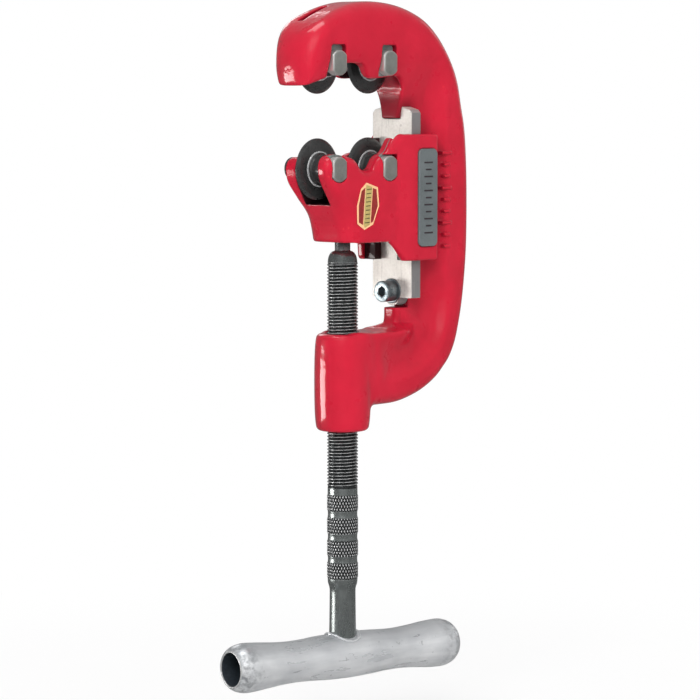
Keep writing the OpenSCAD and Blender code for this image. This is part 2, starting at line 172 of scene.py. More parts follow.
# ------------------------------------------------------------------ materials
def red_enamel():
    material, nodes, shader = new_material("red_enamel")
    mm = nodes.coords()
    # broad drift of the red, then fine darker specks
    drift = nodes.noise(mm, scale=0.045, detail=3, rough=0.55)
    base = nodes.ramp(drift, (0.30, (0.465, 0.0075, 0.026)), (0.70, (0.55, 0.0105, 0.034)))
    speck = nodes.noise(mm, scale=0.5, detail=3, rough=0.6)
    base = nodes.tint(base, (0.42, 0.004, 0.016), speck, span=(0.60, 0.80), amount=(0.0, 0.10))
    # painted highlight on sharp edges, painted shade in corners, and near black painted shade in
    # the wheel pockets, under the guide and above the plate
    base = nodes.tint(base, (0.72, 0.04, 0.05), nodes.pointiness(),
                      span=(0.53, 0.60), amount=(0.0, 0.30))
    occlusion = nodes.add("AmbientOcclusion", {"Distance": 14 * MM}, samples=6).outputs["AO"]
    base = nodes.tint(base, (0.13, 0.002, 0.010), occlusion,
                      span=(0.22, 0.86), amount=(0.80, 0.0))
    painted_shade = nodes.attribute("painted_shade")
    base = nodes.tint(base, (0.014, 0.011, 0.012), painted_shade, span=(0.0, 1.0), amount=(0.0, 0.94))
    # the gloss coat thins in corners, in the painted shade and in dull areas
    open_coat = nodes.remap(occlusion, span=(0.30, 0.80), to=(0.12, 0.72))
    coat_out_of_shade = nodes.remap(painted_shade, span=(0.0, 1.0), to=(1.0, 0.35))
    coat = nodes.calc("MULTIPLY", open_coat, coat_out_of_shade)
    dull_coat = nodes.remap(nodes.attribute("dull"), span=(0.0, 1.0), to=(1.0, 0.10))
    coat = nodes.calc("MULTIPLY", coat, dull_coat)
    patches = nodes.noise(mm, scale=0.12, detail=3, rough=0.6)
    # casting texture below the coat, softer waves on the coat itself
    cast = nodes.bump(nodes.noise(mm, scale=0.16, detail=2), strength=0.55, depth=0.55)
    cast = nodes.bump(nodes.noise(mm, scale=0.75, detail=3, rough=0.55),
                      strength=0.30, depth=0.10, below=cast)
    waves = nodes.bump(nodes.noise(mm, scale=0.13, detail=2), strength=0.42, depth=0.55)
    waves = nodes.bump(nodes.noise(mm, scale=0.9, detail=2),
                       strength=0.09, depth=0.08, below=waves)
    nodes.feed(shader, {
        "Base Color": base,
        "Coat Weight": coat,
        "Roughness": nodes.remap(patches, span=(0.3, 0.7), to=(0.26, 0.38)),
        "Coat Roughness": 0.07,
        "Coat IOR": 1.46,
        "Specular IOR Level": 0.10,
        "Normal": cast,
        "Coat Normal": waves,
    })
    return material


def metal(name, dark, light, roughness, bump=0.1, depth=0.05, grain=0.5, cloud=0.08,
          stretch=(1, 1, 1), turn=None, metallic=1.0, spots=None, sides=None, upper=None,
          ends=None, edge=None, streaks=None, wear_and_sheen=None):
    """Metal between a dark and a light colour.

    grain and cloud are noise scales per millimetre; bump and depth shape the grain's relief.
    sides, ends and streaks are colours; spots, upper, edge and worn are dicts, used below.
    """
    material, nodes, shader = new_material(name)
    fine = nodes.noise(nodes.coords(stretch, turn), grain, detail=4, rough=0.6)
    mm = nodes.coords()
    broad = nodes.noise(mm, cloud, detail=3, rough=0.6)
    halves = [nodes.remap(tex, span=(0.3, 0.7), to=(0.0, 0.5)) for tex in (fine, broad)]
    base = nodes.ramp(nodes.calc("ADD", *halves), (0.1, dark), (0.9, light))
    if spots:
        spot = nodes.noise(mm, spots["scale"], detail=2)
        base = nodes.tint(base, spots["colour"], spot, span=(spots["start"], spots["start"] + 0.06),
                          amount=(0.0, spots["amount"]))
    # painted shade: faces turned towards +Y or -Y are darker
    if sides:                            # faces turned towards +Y or -Y
        sideways = nodes.calc("ABSOLUTE", nodes.normal_part(1))
        base = nodes.tint(base, sides, sideways, span=(0.3, 0.9), amount=(0.0, 0.85))
    if upper:                            # painted shade: darker on faces turned upwards
        base = nodes.tint(base, upper["colour"], nodes.normal_part(2),
                          span=(0.30, 0.92), amount=(0.0, upper["amount"]))
    if ends:                             # smudged towards both ends of the handle
        place = nodes.add("TexCoord").outputs["Object"]
        along = nodes.add("VectorMath", {0: place, 1: HANDLE_AXIS.tolist()},
                          operation="DOT_PRODUCT").outputs["Value"]
        far = nodes.calc("ABSOLUTE", along)
        smear = nodes.noise(mm, scale=0.28, detail=3, rough=0.65, distort=0.6)
        near_end = nodes.remap(far, span=(0.058, 0.069), to=(0.0, 1.0))      # metres
        patch = nodes.remap(smear, span=(0.42, 0.66), to=(0.0, 0.70))
        base = nodes.mix(base, ends, nodes.calc("MULTIPLY", near_end, patch))
    # painted highlight: lighter along sharp edges
    if edge:
        base = nodes.tint(base, edge["colour"], nodes.pointiness(),
                          span=edge["span"], amount=(0.0, 1.0))
    if streaks:                          # drawn out along Z
        streak = nodes.noise(nodes.coords((1, 2.4, 0.12)), scale=0.55, detail=3, rough=0.55)
        base = nodes.tint(base, streaks, streak, span=(0.58, 0.70), amount=(0.0, 0.5))
    nodes.feed(shader, {"Metallic": metallic})
    if wear_and_sheen:                             # lighter high spots, partly rubbed and partly a painted highlight, from a per-vertex amount
        shine = nodes.attribute("shine")
        base = nodes.mix(base, wear_and_sheen["colour"], shine)
        blend = nodes.remap(shine, span=(0.0, 1.0), to=(metallic, wear_and_sheen["metallic"]))
        nodes.feed(shader, {"Metallic": blend})
    nodes.feed(shader, {
        "Base Color": base,
        "Roughness": nodes.remap(fine, span=(0.3, 0.7), to=roughness),
        "Normal": nodes.bump(fine, bump, depth),
    })
    return material


def coated(name, colour, roughness, vary=0.12, scale=0.8):
    """Plain non-metal surface whose colour varies by a small share"""
    material, nodes, shader = new_material(name)
    grain = nodes.noise(nodes.coords(), scale, detail=3, rough=0.6)
    dark = [c * (1 - vary) for c in colour]
    light = [min(1, c * (1 + vary)) for c in colour]
    nodes.feed(shader, {
        "Base Color": nodes.ramp(grain, (0.3, dark), (0.7, light)),
        "Roughness": roughness,
        "Normal": nodes.bump(grain, strength=0.15, depth=0.05),
    })
    return material


PAINT = red_enamel()
SLOT_FLOOR = metal("slot_floor", (0.16, 0.18, 0.17), (0.27, 0.29, 0.28), (0.40, 0.60),
                   bump=0.12, grain=0.6, metallic=0.35)
WEAR_STEEL = metal("wear_steel", (0.60, 0.57, 0.53), (0.80, 0.77, 0.73), (0.40, 0.56),
                   bump=0.22, depth=0.06, stretch=(0.22, 1.2, 1.6), metallic=0.5,
                   spots=dict(scale=0.32, start=0.66, colour=(0.34, 0.31, 0.28), amount=0.45),
                   sides=(0.20, 0.195, 0.205), streaks=(0.36, 0.34, 0.32))
WHEEL_STEEL = metal("wheel_steel", (0.060, 0.061, 0.061), (0.098, 0.099, 0.099), (0.26, 0.34),
                    bump=0.03, grain=0.6, metallic=0.7)
PIN_STEEL = metal("pin_steel", (0.30, 0.31, 0.285), (0.44, 0.45, 0.42), (0.36, 0.52),
                  bump=0.12, grain=0.7, metallic=0.8,
                  edge=dict(colour=(0.72, 0.72, 0.70), span=(0.52, 0.57)))
SPRING_STEEL = metal("spring_steel", (0.05, 0.05, 0.055), (0.12, 0.12, 0.125), (0.3, 0.5),
                     bump=0.12, grain=0.8, metallic=0.85)
BLACK_OXIDE = metal("black_oxide", (0.030, 0.033, 0.034), (0.070, 0.075, 0.076), (0.22, 0.36),
                    bump=0.08, metallic=0.85,
                    wear_and_sheen=dict(colour=(0.66, 0.665, 0.67), metallic=0.45))
# lighter, smoother steel for painted highlights: rings on the wheels and lips of the handle
PAINTED_HIGHLIGHT_STEEL = metal("painted_highlight_steel", (0.42, 0.425, 0.43), (0.62, 0.625, 0.63), (0.18, 0.30),
                   bump=0.05, grain=0.6, metallic=0.45)
SHANK_STEEL = metal("shank_steel", (0.21, 0.228, 0.225), (0.31, 0.335, 0.33), (0.24, 0.33),
                    bump=0.01, grain=0.25, stretch=(1, 1, 0.2), metallic=0.85)
DOMED_END = metal("domed_end", (0.13, 0.14, 0.139), (0.21, 0.225, 0.222), (0.22, 0.30),
                  bump=0.01, grain=0.25, metallic=0.88)
GALVANISED = metal("galvanised", (0.56, 0.575, 0.595), (0.84, 0.85, 0.86), (0.24, 0.42),
                   bump=0.22, depth=0.14, grain=0.20, cloud=0.05, stretch=(0.16, 1, 1),
                   turn=-HANDLE_TURN, metallic=0.45,
                   spots=dict(scale=0.30, start=0.67, colour=(0.24, 0.25, 0.26), amount=0.5),
                   upper=dict(colour=(0.27, 0.285, 0.30), amount=0.62),
                   ends=(0.13, 0.14, 0.155))
TUBE_INSIDE = coated("tube_inside", (0.02, 0.026, 0.034), 0.55, vary=0.3)
ZINC_PLATED = metal("zinc_plated", (0.115, 0.145, 0.16), (0.25, 0.29, 0.31), (0.24, 0.38),
                    bump=0.14, metallic=0.9,
                    edge=dict(colour=(0.55, 0.60, 0.62), span=(0.54, 0.62)))
BADGE_GREY = metal("badge_grey", (0.135, 0.155, 0.16), (0.19, 0.215, 0.22), (0.40, 0.52),
                   bump=0.12, grain=1.2, metallic=0.35)
BADGE_MARK = coated("badge_mark", (0.030, 0.022, 0.026), 0.5, vary=0.3)
LABEL_BORDER = coated("label_border", (0.86, 0.50, 0.26), 0.42, vary=0.06)
LABEL_PANEL = coated("label_panel", (0.26, 0.018, 0.016), 0.42, vary=0.25, scale=1.6)
LABEL_STRIPE = coated("label_stripe", (0.46, 0.36, 0.12), 0.42)
LABEL_RULE = coated("label_rule", (0.10, 0.085, 0.03), 0.45, vary=0.2)


# ------------------------------------------------------------------ mesh tools
def link_object(name, data):
    obj = bpy.data.objects.new(name, data)
    bpy.context.scene.collection.objects.link(obj)
    return obj


def mesh_object(name, verts, faces, materials, face_slots=None, smooth=True):
    """verts in millimetres; faces an (n, 4) array or a list of tuples"""
    mesh = bpy.data.meshes.new(name)
    verts = np.asarray(verts, np.float64) * MM
    if isinstance(faces, np.ndarray):
        count, corners = faces.shape
        mesh.vertices.add(len(verts))
        mesh.vertices.foreach_set("co", verts.astype(np.float32).ravel())
        mesh.loops.add(count * corners)
        mesh.loops.foreach_set("vertex_index", faces.astype(np.int32).ravel())
        mesh.polygons.add(count)
        starts = np.arange(0, count * corners, corners, dtype=np.int32)
        mesh.polygons.foreach_set("loop_start", starts)
        mesh.update(calc_edges=True)
    else:
        mesh.from_pydata([tuple(v) for v in verts], [], [tuple(map(int, f)) for f in faces])
    mesh.validate()
    for material in materials:
        mesh.materials.append(material)
    if face_slots is not None:
        mesh.polygons.foreach_set("material_index", np.asarray(face_slots, np.int32))
    mesh.polygons.foreach_set("use_smooth", np.full(len(mesh.polygons), smooth))
    mesh.update()
    return link_object(name, mesh)


def face_outwards(obj, sharp=None):
    """Turns all faces outwards and marks edges over the given angle in degrees as sharp"""
    bm = bmesh.new()
    bm.from_mesh(obj.data)
    bmesh.ops.recalc_face_normals(bm, faces=bm.faces)
    bm.to_mesh(obj.data)
    bm.free()
    obj.data.update()
    if sharp:
        obj.data.set_sharp_from_angle(angle=math.radians(sharp))


def add_values(obj, name, values):
    attribute = obj.data.attributes.new(name, "FLOAT", "POINT")
    attribute.data.foreach_set("value", values.astype(np.float32))


def hand_over(obj, body, piece):
    """Moves with a body and stands in for a CAD piece"""
    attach(obj, body)
    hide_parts(piece)


def revolve_y(profile, segments, closed=False):
    """Turns (radius, y) points about Y; a radius of 0 becomes a single vertex"""
    verts, rings, faces = [], [], []
    angles = [2 * math.pi * i / segments for i in range(segments)]
    for radius, y in profile:
        if radius < 1e-6:
            rings.append([len(verts)])
            verts.append((0, y, 0))
        else:
            rings.append(list(range(len(verts), len(verts) + segments)))
            verts += [(radius * math.cos(a), y, radius * math.sin(a)) for a in angles]
    pairs = list(zip(rings[:-1], rings[1:]))
    if closed:
        pairs.append((rings[-1], rings[0]))
    for first, second in pairs:
        for i in range(segments):
            j = (i + 1) % segments
            if len(first) == 1:
                faces.append((second[i], second[j], first[0]))
            elif len(second) == 1:
                faces.append((second[0], first[j], first[i]))
            else:
                faces.append((second[i], second[j], first[j], first[i]))
    return np.array(verts, float), faces


def ring_quads(rings, size, closed):
    """Quads between successive rings of equal size; closed joins the last to the first"""
    row = np.arange(rings if closed else rings - 1)[:, None]
    column = np.arange(size)[None, :]
    here, after = row * size, (row + 1) % rings * size
    beside = (column + 1) % size
    quads = [here + column, after + column, after + beside, here + beside]
    return np.stack(quads, 2).reshape(-1, 4)


def capped_stack(rings, size, start=0):
    """Faces of a solid built from a stack of rings, closed by a cap at each end"""
    faces = []
    for ring in range(rings - 1):
        a = start + ring * size
        b = a + size
        for i in range(size):
            j = (i + 1) % size
            faces.append((a + i, a + j, b + j, b + i))
    last = start + (rings - 1) * size
    faces.append(tuple(range(last, last + size)))
    faces.append(tuple(reversed(range(start, start + size))))
    return faces


def fillet(corners, steps):
    """Rounds an open polyline of (x, y, fillet radius) corners"""
    out = []
    for i, (x, y, wanted) in enumerate(corners):
        if wanted <= 0:
            out.append((x, y))
            continue
        corner = np.array((x, y), float)
        u = np.array(corners[i - 1][:2], float) - corner
        v = np.array(corners[i + 1][:2], float) - corner
        length_u, length_v = np.linalg.norm(u), np.linalg.norm(v)
        u, v = u / length_u, v / length_v
        angle = math.acos(max(-1, min(1, float(u @ v))))
        reach = min(wanted / math.tan(angle / 2), 0.48 * length_u, 0.48 * length_v)
        radius = reach * math.tan(angle / 2)
        middle = (u + v) / np.linalg.norm(u + v)
        centre = corner + middle * (radius / math.sin(angle / 2))
        start, end = corner + u * reach - centre, corner + v * reach - centre
        first = math.atan2(start[1], start[0])
        last = math.atan2(end[1], end[0])
        sweep = (last - first + math.pi) % (2 * math.pi) - math.pi
        for k in range(steps + 1):
            a = first + sweep * k / steps
            out.append((centre[0] + radius * math.cos(a), centre[1] + radius * math.sin(a)))
    return out


def spline(points, steps):
    """Catmull-Rom curve through the points"""
    points = [np.array(p, float) for p in points]
    last, out = len(points) - 1, []
    for i in range(last):
        a, b, c, d = points[max(i - 1, 0)], points[i], points[i + 1], points[min(i + 2, last)]
        for k in range(steps):
            t = k / steps
            out.append(0.5 * (2 * b + (c - a) * t + (2 * a - 5 * b + 4 * c - d) * t * t
                              + (3 * b - a - 3 * c + d) * t ** 3))
    out.append(points[-1])
    return [tuple(p) for p in out]


# ------------------------------------------------------------------ distance fields
# A field is negative inside its solid. X, Y and Z are broadcast against each other.
def smooth_max(a, b, blend):
    h = np.clip(0.5 + 0.5 * (a - b) / blend, 0, 1)
    return b + (a - b) * h + blend * h * (1 - h)


def join(a, b, blend):
    return -smooth_max(-a, -b, blend)


def carve(solid, tool, blend):
    """Removes the tool and softens the edge it leaves"""
    return smooth_max(solid, -tool, blend)


def cut(solid, tool):
    """Removes the tool and leaves a sharp edge"""
    return np.maximum(solid, -tool)


def overlap(*fields):
    return reduce(np.maximum, fields)


def round_overlap(a, b, radius):
    """Overlap of two fields with the edge rounded"""
    a, b = a + radius, b + radius
    corner = np.sqrt(np.maximum(a, 0) ** 2 + np.maximum(b, 0) ** 2)
    return np.minimum(np.maximum(a, b), 0) + corner - radius


def between(values, low, high):
    return np.maximum(low - values, values - high)


def around(values, centre, half):
    return np.abs(values - centre) - half


def disc(X, Z, x, z, radius):
    return np.sqrt((X - x) ** 2 + (Z - z) ** 2) - radius


def wheel_lobes(X, Z, z):
    return np.minimum(disc(X, Z, -WHEEL_X, z, POCKET_OUTER_R),
                      disc(X, Z, WHEEL_X, z, POCKET_INNER_R))


def ease(x, start, end):
    """Smooth step from 0 to 1"""
    t = np.clip((x - start) / (end - start), 0, 1)
    return t * t * (3 - 2 * t)


def fade(depth, width):
    """Linear step: 0 at no depth, 1 at the full width"""
    return np.clip(depth / width, 0, 1)


def outline_field(X, Z, points):
    """Signed distance in the XZ plane to a closed polygon"""
    points = np.array(points, np.float32)
    shape = np.broadcast(X, Z).shape
    nearest = np.full(shape, 1e9, np.float32)
    inside = np.zeros(shape, bool)
    for i, a in enumerate(points):
        b = points[(i + 1) % len(points)]
        e = b - a
        from_x, from_z = X - a[0], Z - a[1]
        t = np.clip((from_x * e[0] + from_z * e[1]) / float(e @ e), 0, 1)
        gap_x, gap_z = from_x - e[0] * t, from_z - e[1] * t
        nearest = np.minimum(nearest, gap_x * gap_x + gap_z * gap_z)
        crossed = (a[1] <= Z) != (b[1] <= Z)
        if abs(e[1]) > 1e-9:
            inside ^= crossed & (X < a[0] + (Z - a[1]) * (e[0] / e[1]))
    nearest = np.sqrt(nearest)
    return np.where(inside, -nearest, nearest).astype(np.float32)


def grid(low, high, spacing):
    x, y, z = [np.arange(a, b + spacing, spacing, dtype=np.float32) for a, b in zip(low, high)]
    return x[:, None, None], y[None, :, None], z[None, None, :]


CUBE = list(product((0, 1), repeat=3))


def settle(verts, field):
    """Moves vertices onto the zero level with three damped steps through the sampled field"""
    for _ in range(3):
        cell = np.clip(np.floor(verts).astype(int), 0, np.array(field.shape) - 2)
        t = verts - cell
        value = np.zeros(len(verts))
        slope = np.zeros((len(verts), 3))
        for corner in CUBE:
            sample = field[tuple((cell + corner).T)]
            wx, wy, wz = [t[:, n] if corner[n] else 1 - t[:, n] for n in range(3)]
            value += sample * wx * wy * wz
            for axis, (wa, wb) in enumerate(((wy, wz), (wx, wz), (wx, wy))):
                slope[:, axis] += sample * wa * wb * (1 if corner[axis] else -1)
        steep = (slope * slope).sum(1) + 1e-6
        move = -(value / steep)[:, None] * slope
        length = np.linalg.norm(move, axis=1)
        move *= np.minimum(1, 0.35 / np.maximum(length, 1e-9))[:, None]
        verts = verts + 0.8 * move
    return verts


def surface_nets(field, low, spacing):
    """Quad mesh of the zero level: one vertex in every cell that it crosses"""
    solid = field < 0
    nx, ny, nz = field.shape
    filled = np.zeros((nx - 1, ny - 1, nz - 1), np.uint8)
    for i, j, k in CUBE:
        filled += solid[i:nx - 1 + i, j:ny - 1 + j, k:nz - 1 + k]
    active = (filled > 0) & (filled < 8)
    cells = np.argwhere(active)
    index = np.full(active.shape, -1, np.int32)
    index[active] = np.arange(len(cells), dtype=np.int32)
    # each vertex starts at the mean of the crossings on its cell's edges
    total = np.zeros((len(cells), 3))
    count = np.zeros(len(cells))
    for start in CUBE:
        for axis in range(3):
            if start[axis]:
                continue
            end = list(start)
            end[axis] = 1
            value_a = field[tuple((cells + start).T)]
            value_b = field[tuple((cells + end).T)]
            crossed = (value_a < 0) != (value_b < 0)
            point = np.tile(np.array(start, float), (crossed.sum(), 1))
            point[:, axis] += value_a[crossed] / (value_a[crossed] - value_b[crossed])
            total[crossed] += point
            count[crossed] += 1
    verts = cells + total / count[:, None]
    # one quad round every grid edge that crosses the surface
    quads = []
    for axis in range(3):
        u, w = (axis + 1) % 3, (axis + 2) % 3
        near = [slice(1, n - 1) for n in field.shape]
        near[axis] = slice(0, field.shape[axis] - 1)
        far = list(near)
        far[axis] = slice(1, field.shape[axis])
        near_solid, far_solid = solid[tuple(near)], solid[tuple(far)]
        edges = np.argwhere(near_solid != far_solid)
        outward = near_solid[tuple(edges.T)]
        for other in (u, w):
            edges[:, other] += 1
        corners = []
        for du, dw in ((-1, -1), (0, -1), (0, 0), (-1, 0)):
            cell = edges.copy()
            cell[:, u] += du
            cell[:, w] += dw
            corners.append(index[tuple(cell.T)])
        quad = np.stack(corners, 1)
        quad[~outward] = quad[~outward][:, ::-1]
        quads.append(quad)
    faces = np.concatenate(quads)
    faces = faces[(faces >= 0).all(1)]
    return settle(verts, field) * spacing + np.array(low), faces


def keep_largest(verts, faces):
    """Drops loose bits: keeps the connected part with the most vertices"""
    label = np.arange(len(verts))
    a = faces.ravel()
    b = faces[:, [1, 2, 3, 0]].ravel()
    while True:
        label_a, label_b = label[a], label[b]
        if (label_a == label_b).all():
            break
        lowest = np.minimum(label_a, label_b)
        np.minimum.at(label, label_a, lowest)
        np.minimum.at(label, label_b, lowest)
        while (label[label] != label).any():
            label = label[label]
    values, counts = np.unique(label, return_counts=True)
    keep = label == values[counts.argmax()]
    renumber = np.cumsum(keep) - 1
    return verts[keep], renumber[faces[keep[faces].all(1)]]


def pocket_painted_shade(verts, pocket, extra):
    """Painted shade on the walls of the wheel pocket, and wherever extra asks for more"""
    walls = fade(9.0 - np.abs(verts[:, 1]), 0.3) * fade(0.7 - pocket, 0.5)
    return np.maximum(walls, extra)


# ------------------------------------------------------------------ frame casting
# Outlines as (x, z) points. The outer one runs from under the screw boss, up the column
# and over the jaw to its tip.
FRAME_OUTER = [
    (8, -151.8), (20, -151.8), (31, -151.4), (41, -149.3), (51, -146), (60.5, -141),
    (67, -135.6), (72, -130.4), (76.5, -122.6), (79.6, -113), (82.4, -101), (84.6, -86),
    (86, -70), (86.4, -50), (86, -28), (84.4, -8), (81.2, 6), (77.4, 18), (72.4, 28.5),
    (66.6, 37.2), (59.6, 44.6), (51.4, 50.6), (41.6, 54.8), (30, 57.8), (17, 59.2), (4, 59),
    (-8, 56.8), (-20, 52.6), (-30, 47.6), (-37, 41.6), (-41, 34.6), (-42.4, 27.6),
    (-41.4, 21.4), (-39, 14)]
# The inner side: under the jaw, past the inner wheel to the column, and the lower bend
JAW_UNDER = [(-60, 14.2), (-37.4, 15.6), (-24.4, 19.6), (-24.4, 27), (-14, 27.2), (-1, 27.2)]
JAW_INNER = [(-1, 27.2), (2.2, 25.6), (5, 21.6), (8, 19.6), (14, 19.3), (24, 20.4),
             (30, 20.6), (33.6, 17.6), (36, 11), (36, 2)]
LOWER_BEND = [(36, -100), (36, -107), (34.6, -110.8), (30.5, -113), (24, -113.5), (8, -113.4)]

NOSE_X, NOSE_R = -25.9, 16.4            # the jaw ends in a half round, seen from above
BOSS_Z, BOSS_HALF = -138.9, 25.5        # barrel that carries the screw
SCREW_BORE_R = 8.16
WEB_HALF = 5.6                          # half width of the web beside the wear plate


def frame_body(X, Y, Z):
    """The C shape with its I-section, and the screw boss"""
    side = np.abs(Y)
    outer = outline_field(X, Z, spline(FRAME_OUTER, 4))
    inner = outline_field(X, Z, JAW_UNDER + spline(JAW_INNER, 4)[1:] + spline(LOWER_BEND, 4)
                          + [(-60, -113.4)])
    # half width: jaw, column, lower bend
    width = 15.0 + 1.4 * ease(Z, 2, 26) - 1.0 * ease(-Z, 98, 120) * ease(-X, -46, -20)
    nose = np.sqrt((X - NOSE_X) ** 2 + Y ** 2) - NOSE_R
    plan = np.where(X < NOSE_X, nose, side - NOSE_R) + (NOSE_R - width)
    rounding = 8.0 + 1.5 * ease(Z, 10, 40) - 2.5 * ease(-X, 0, 30)
    body = carve(round_overlap(outer, plan, rounding), inner, 1.8)
    # barrel-shaped boss
    height = np.clip((Z - BOSS_Z) / BOSS_HALF, -1.1, 1.1)
    boss_r = 14.85 - 0.55 * height ** 2 - 0.9 * height ** 6
    from_axis = np.sqrt(X * X + Y * Y)
    boss = round_overlap(from_axis - boss_r, around(Z, BOSS_Z, BOSS_HALF), 2.2)
    # grooves on both sides of the web, running out into the jaw and the lower bend
    low_end = (-104.5 - Z) * 0.95 + 0.25 * (36 - X)
    swell = 1 - (1 - ease(X, 53.2, 68.5)) * (1 - ease(Z, -6, 38)) * (1 - ease(low_end, -7, 9))
    web = WEB_HALF + (width - WEB_HALF) * swell
    body = smooth_max(body, (side - web) * 0.74, 1.6)
    # the inner corner under the plate stays as narrow as the web and widens to the boss
    corner = overlap(between(X, 20, 50), between(Z, -124, -96))
    corner_width = (5.2 + 0.9 * np.maximum(0, 35 - X) + 2.6 * np.maximum(0, -109.8 - Z)
                    + 0.85 * np.maximum(0, X - 39.5))
    body = carve(body, overlap(corner, (corner_width - side) * 0.7), 3.0)
    # soft recess that follows the lower bend
    band = smooth_max(outer + 16.5, 7.5 - inner, 6)
    band = smooth_max(band, (19.5 - X) * 0.9, 6)
    band = smooth_max(band, Z + 90, 10)
    depth = (8.9 + 0.16 * np.maximum(0, 46 - X) - side) * 0.8
    body = carve(body, smooth_max(band, depth, 6.0), 6.5)
    return join(body, boss, 3.6), width


def frame_field(spacing):
    low, high = (-46, -18.5, -168), (90, 18.5, 62.5)
    X, Y, Z = grid(low, high, spacing)
    side = np.abs(Y)
    body, width = frame_body(X, Y, Z)
    # wear plate seat
    body = carve(body, overlap(between(X, 20, 45.55), between(Z, -101.7, -1.55)), 0.5)
    # wheel pocket, open below
    reach = np.abs(X) - WHEEL_X
    pocket = np.minimum(wheel_lobes(X, Z, WHEEL_Z), overlap(reach - 16.5, between(Z, -10, WHEEL_Z)))
    pocket = np.minimum(pocket, overlap(reach, Z - WHEEL_Z - 12, -10 - Z))
    body = carve(body, overlap(pocket, side - POCKET_HALF), 0.9)
    # pin bores, and slots for the pin heads on the -Y side
    for s in (-1, 1):
        body = cut(body, disc(X, Z, s * WHEEL_X, WHEEL_Z, PIN_BORE_R))
        slot = round_overlap(around(X, s * WHEEL_X, 5.5), Z - WHEEL_Z - 9.4, 1.8)
        body = carve(body, overlap(slot, 8 - Z, Y - SLOT_Y), 0.5)
    # recess cast into the top of the nose, tilted with the surface
    cos, sin = math.cos(math.radians(24)), math.sin(math.radians(24))
    dx, dz = X + 18.2, Z - 53.2
    along, above = dx * cos + dz * sin, -dx * sin + dz * cos
    recess = round_overlap(np.abs(along) - 10.4, around(Y, 4.2, 2.0), 1.5)
    body = carve(body, overlap(recess, -above - 3.0), 0.7)
    # raised bars on both sides of the column; every third one is longer
    for k in range(9):
        half = 2.4 if k % 3 else 3.8
        bar = overlap(around(X, 65.5, half), around(Z, -20 - 6.2 * k, 0.7),
                      side - width - 0.30, 12 - side)
        body = join(body, bar, 0.6)
    # screw bore with a chamfer at both ends
    bore = np.sqrt(X * X + Y * Y) - SCREW_BORE_R
    body = cut(body, overlap(bore, Z + 100))
    lead = bore - np.clip(np.abs(Z - BOSS_Z) - 24.6, 0, 1.2)
    body = cut(body, overlap(lead, around(Z, BOSS_Z, 30)))
    return body.astype(np.float32), low


def build_frame():
    spacing = 0.55
    verts, faces = keep_largest(*surface_nets(*frame_field(spacing), spacing))
    cx, cy, cz = verts[faces].mean(1).T
    slots = ((np.abs(np.abs(cx) - WHEEL_X) < 5.2) & (np.abs(cy - SLOT_Y) < 0.35)
             & (cz > 15) & (cz < WHEEL_Z + 9.2)).astype(int)
    obj = mesh_object("frame_casting", verts, faces, [PAINT, SLOT_FLOOR], slots)
    x, y, z = verts.T
    reach = np.abs(x) - WHEEL_X
    pocket = np.minimum(np.hypot(reach, z - WHEEL_Z) - POCKET_OUTER_R,
                        overlap(reach, z - WHEEL_Z - 12, -z - 10))
    # coat dulled behind the guide walls; painted shade and a duller coat above the plate
    walls = (fade(68 - x, 5) * fade(x - 40, 4) * fade(y - 3, 3) * fade(z + 112, 8)
             * fade(14 - z, 12))
    above = 0.55 * fade(50 - x, 6) * fade(x - 14, 3) * fade(13 - z, 4) * fade(z + 2.2, 0.8)
    above = above * fade(9.5 - np.abs(y), 3)
    # painted shade on the wheel pocket walls and above the plate
    add_values(obj, "painted_shade", pocket_painted_shade(verts, np.where(z < 6, 5.0, pocket), above))
    add_values(obj, "dull", np.maximum(walls, np.clip(above * 2.2, 0, 1)))
    hand_over(obj, "frame", "frame")


# ------------------------------------------------------------------ sliding housing
# Outlines as (x, z) points. The -X edge runs downwards; the top edge runs towards +X.
# The +Y side of the casting differs from the -Y side near the nose and at the guide.
LEFT_FRONT = [(-28.2, -27.3), (-27.4, -31.4), (-25.4, -35.4), (-22.4, -40), (-19.2, -45),
              (-15.8, -50.6), (-12.8, -57), (-10, -70), (-8, -88)]
LEFT_REAR = [(-26.7, -27.5), (-26.1, -31.4), (-24.7, -35.4), (-22.0, -40)] + LEFT_FRONT[4:]
TOP_FRONT = [
    (-28.2, -27.3), (-27.7, -23.8), (-25.6, -21.0), (-22.5, -19.8), (-19, -19.5),
    (-14.5, -20.1), (-10, -20.9), (-6.6, -21.9), (-4.3, -23.6), (-2.3, -26.0), (0.6, -27.7),
    (4.2, -28.1), (7.4, -27.4), (9.4, -25), (11.1, -22.6), (13.8, -20.6), (17.4, -19.3),
    (19.6, -17.0), (21.7, -13.8), (24.6, -10.6), (28, -9.5), (31, -9.4)]
TOP_REAR = [
    (-26.7, -27.8), (-26.1, -25), (-24.4, -22.6), (-22.0, -21.5), (-19, -21.3), (-14.5, -21.8),
    *TOP_FRONT[6:16], (17.4, -19.7), (21, -19.4), (26, -19.4), (31, -19.2), (36.4, -18.0),
    (39.4, -15.0), (41.8, -11.6), (44.4, -9.7), (48, -9.4)]
GUIDE_EDGE = [(60, -9.4), (60, -88)]
# Limits of the guide wall: where it starts below the body, and the rest, shared by both sides
WALL_FRONT = [(-60, -65.6), (19.4, -65.8), (24, -69.4), (30, -76.2)]
WALL_REAR = [(-60, -65.6), (27, -65.8), (29.6, -68), (30.4, -75), (31.8, -76.4)]
WALL_REST = [(53, -76.4), (54, -75.4), (54, -10), (53, -9.2), (30, -9.2), (30, 20), (-60, 20)]


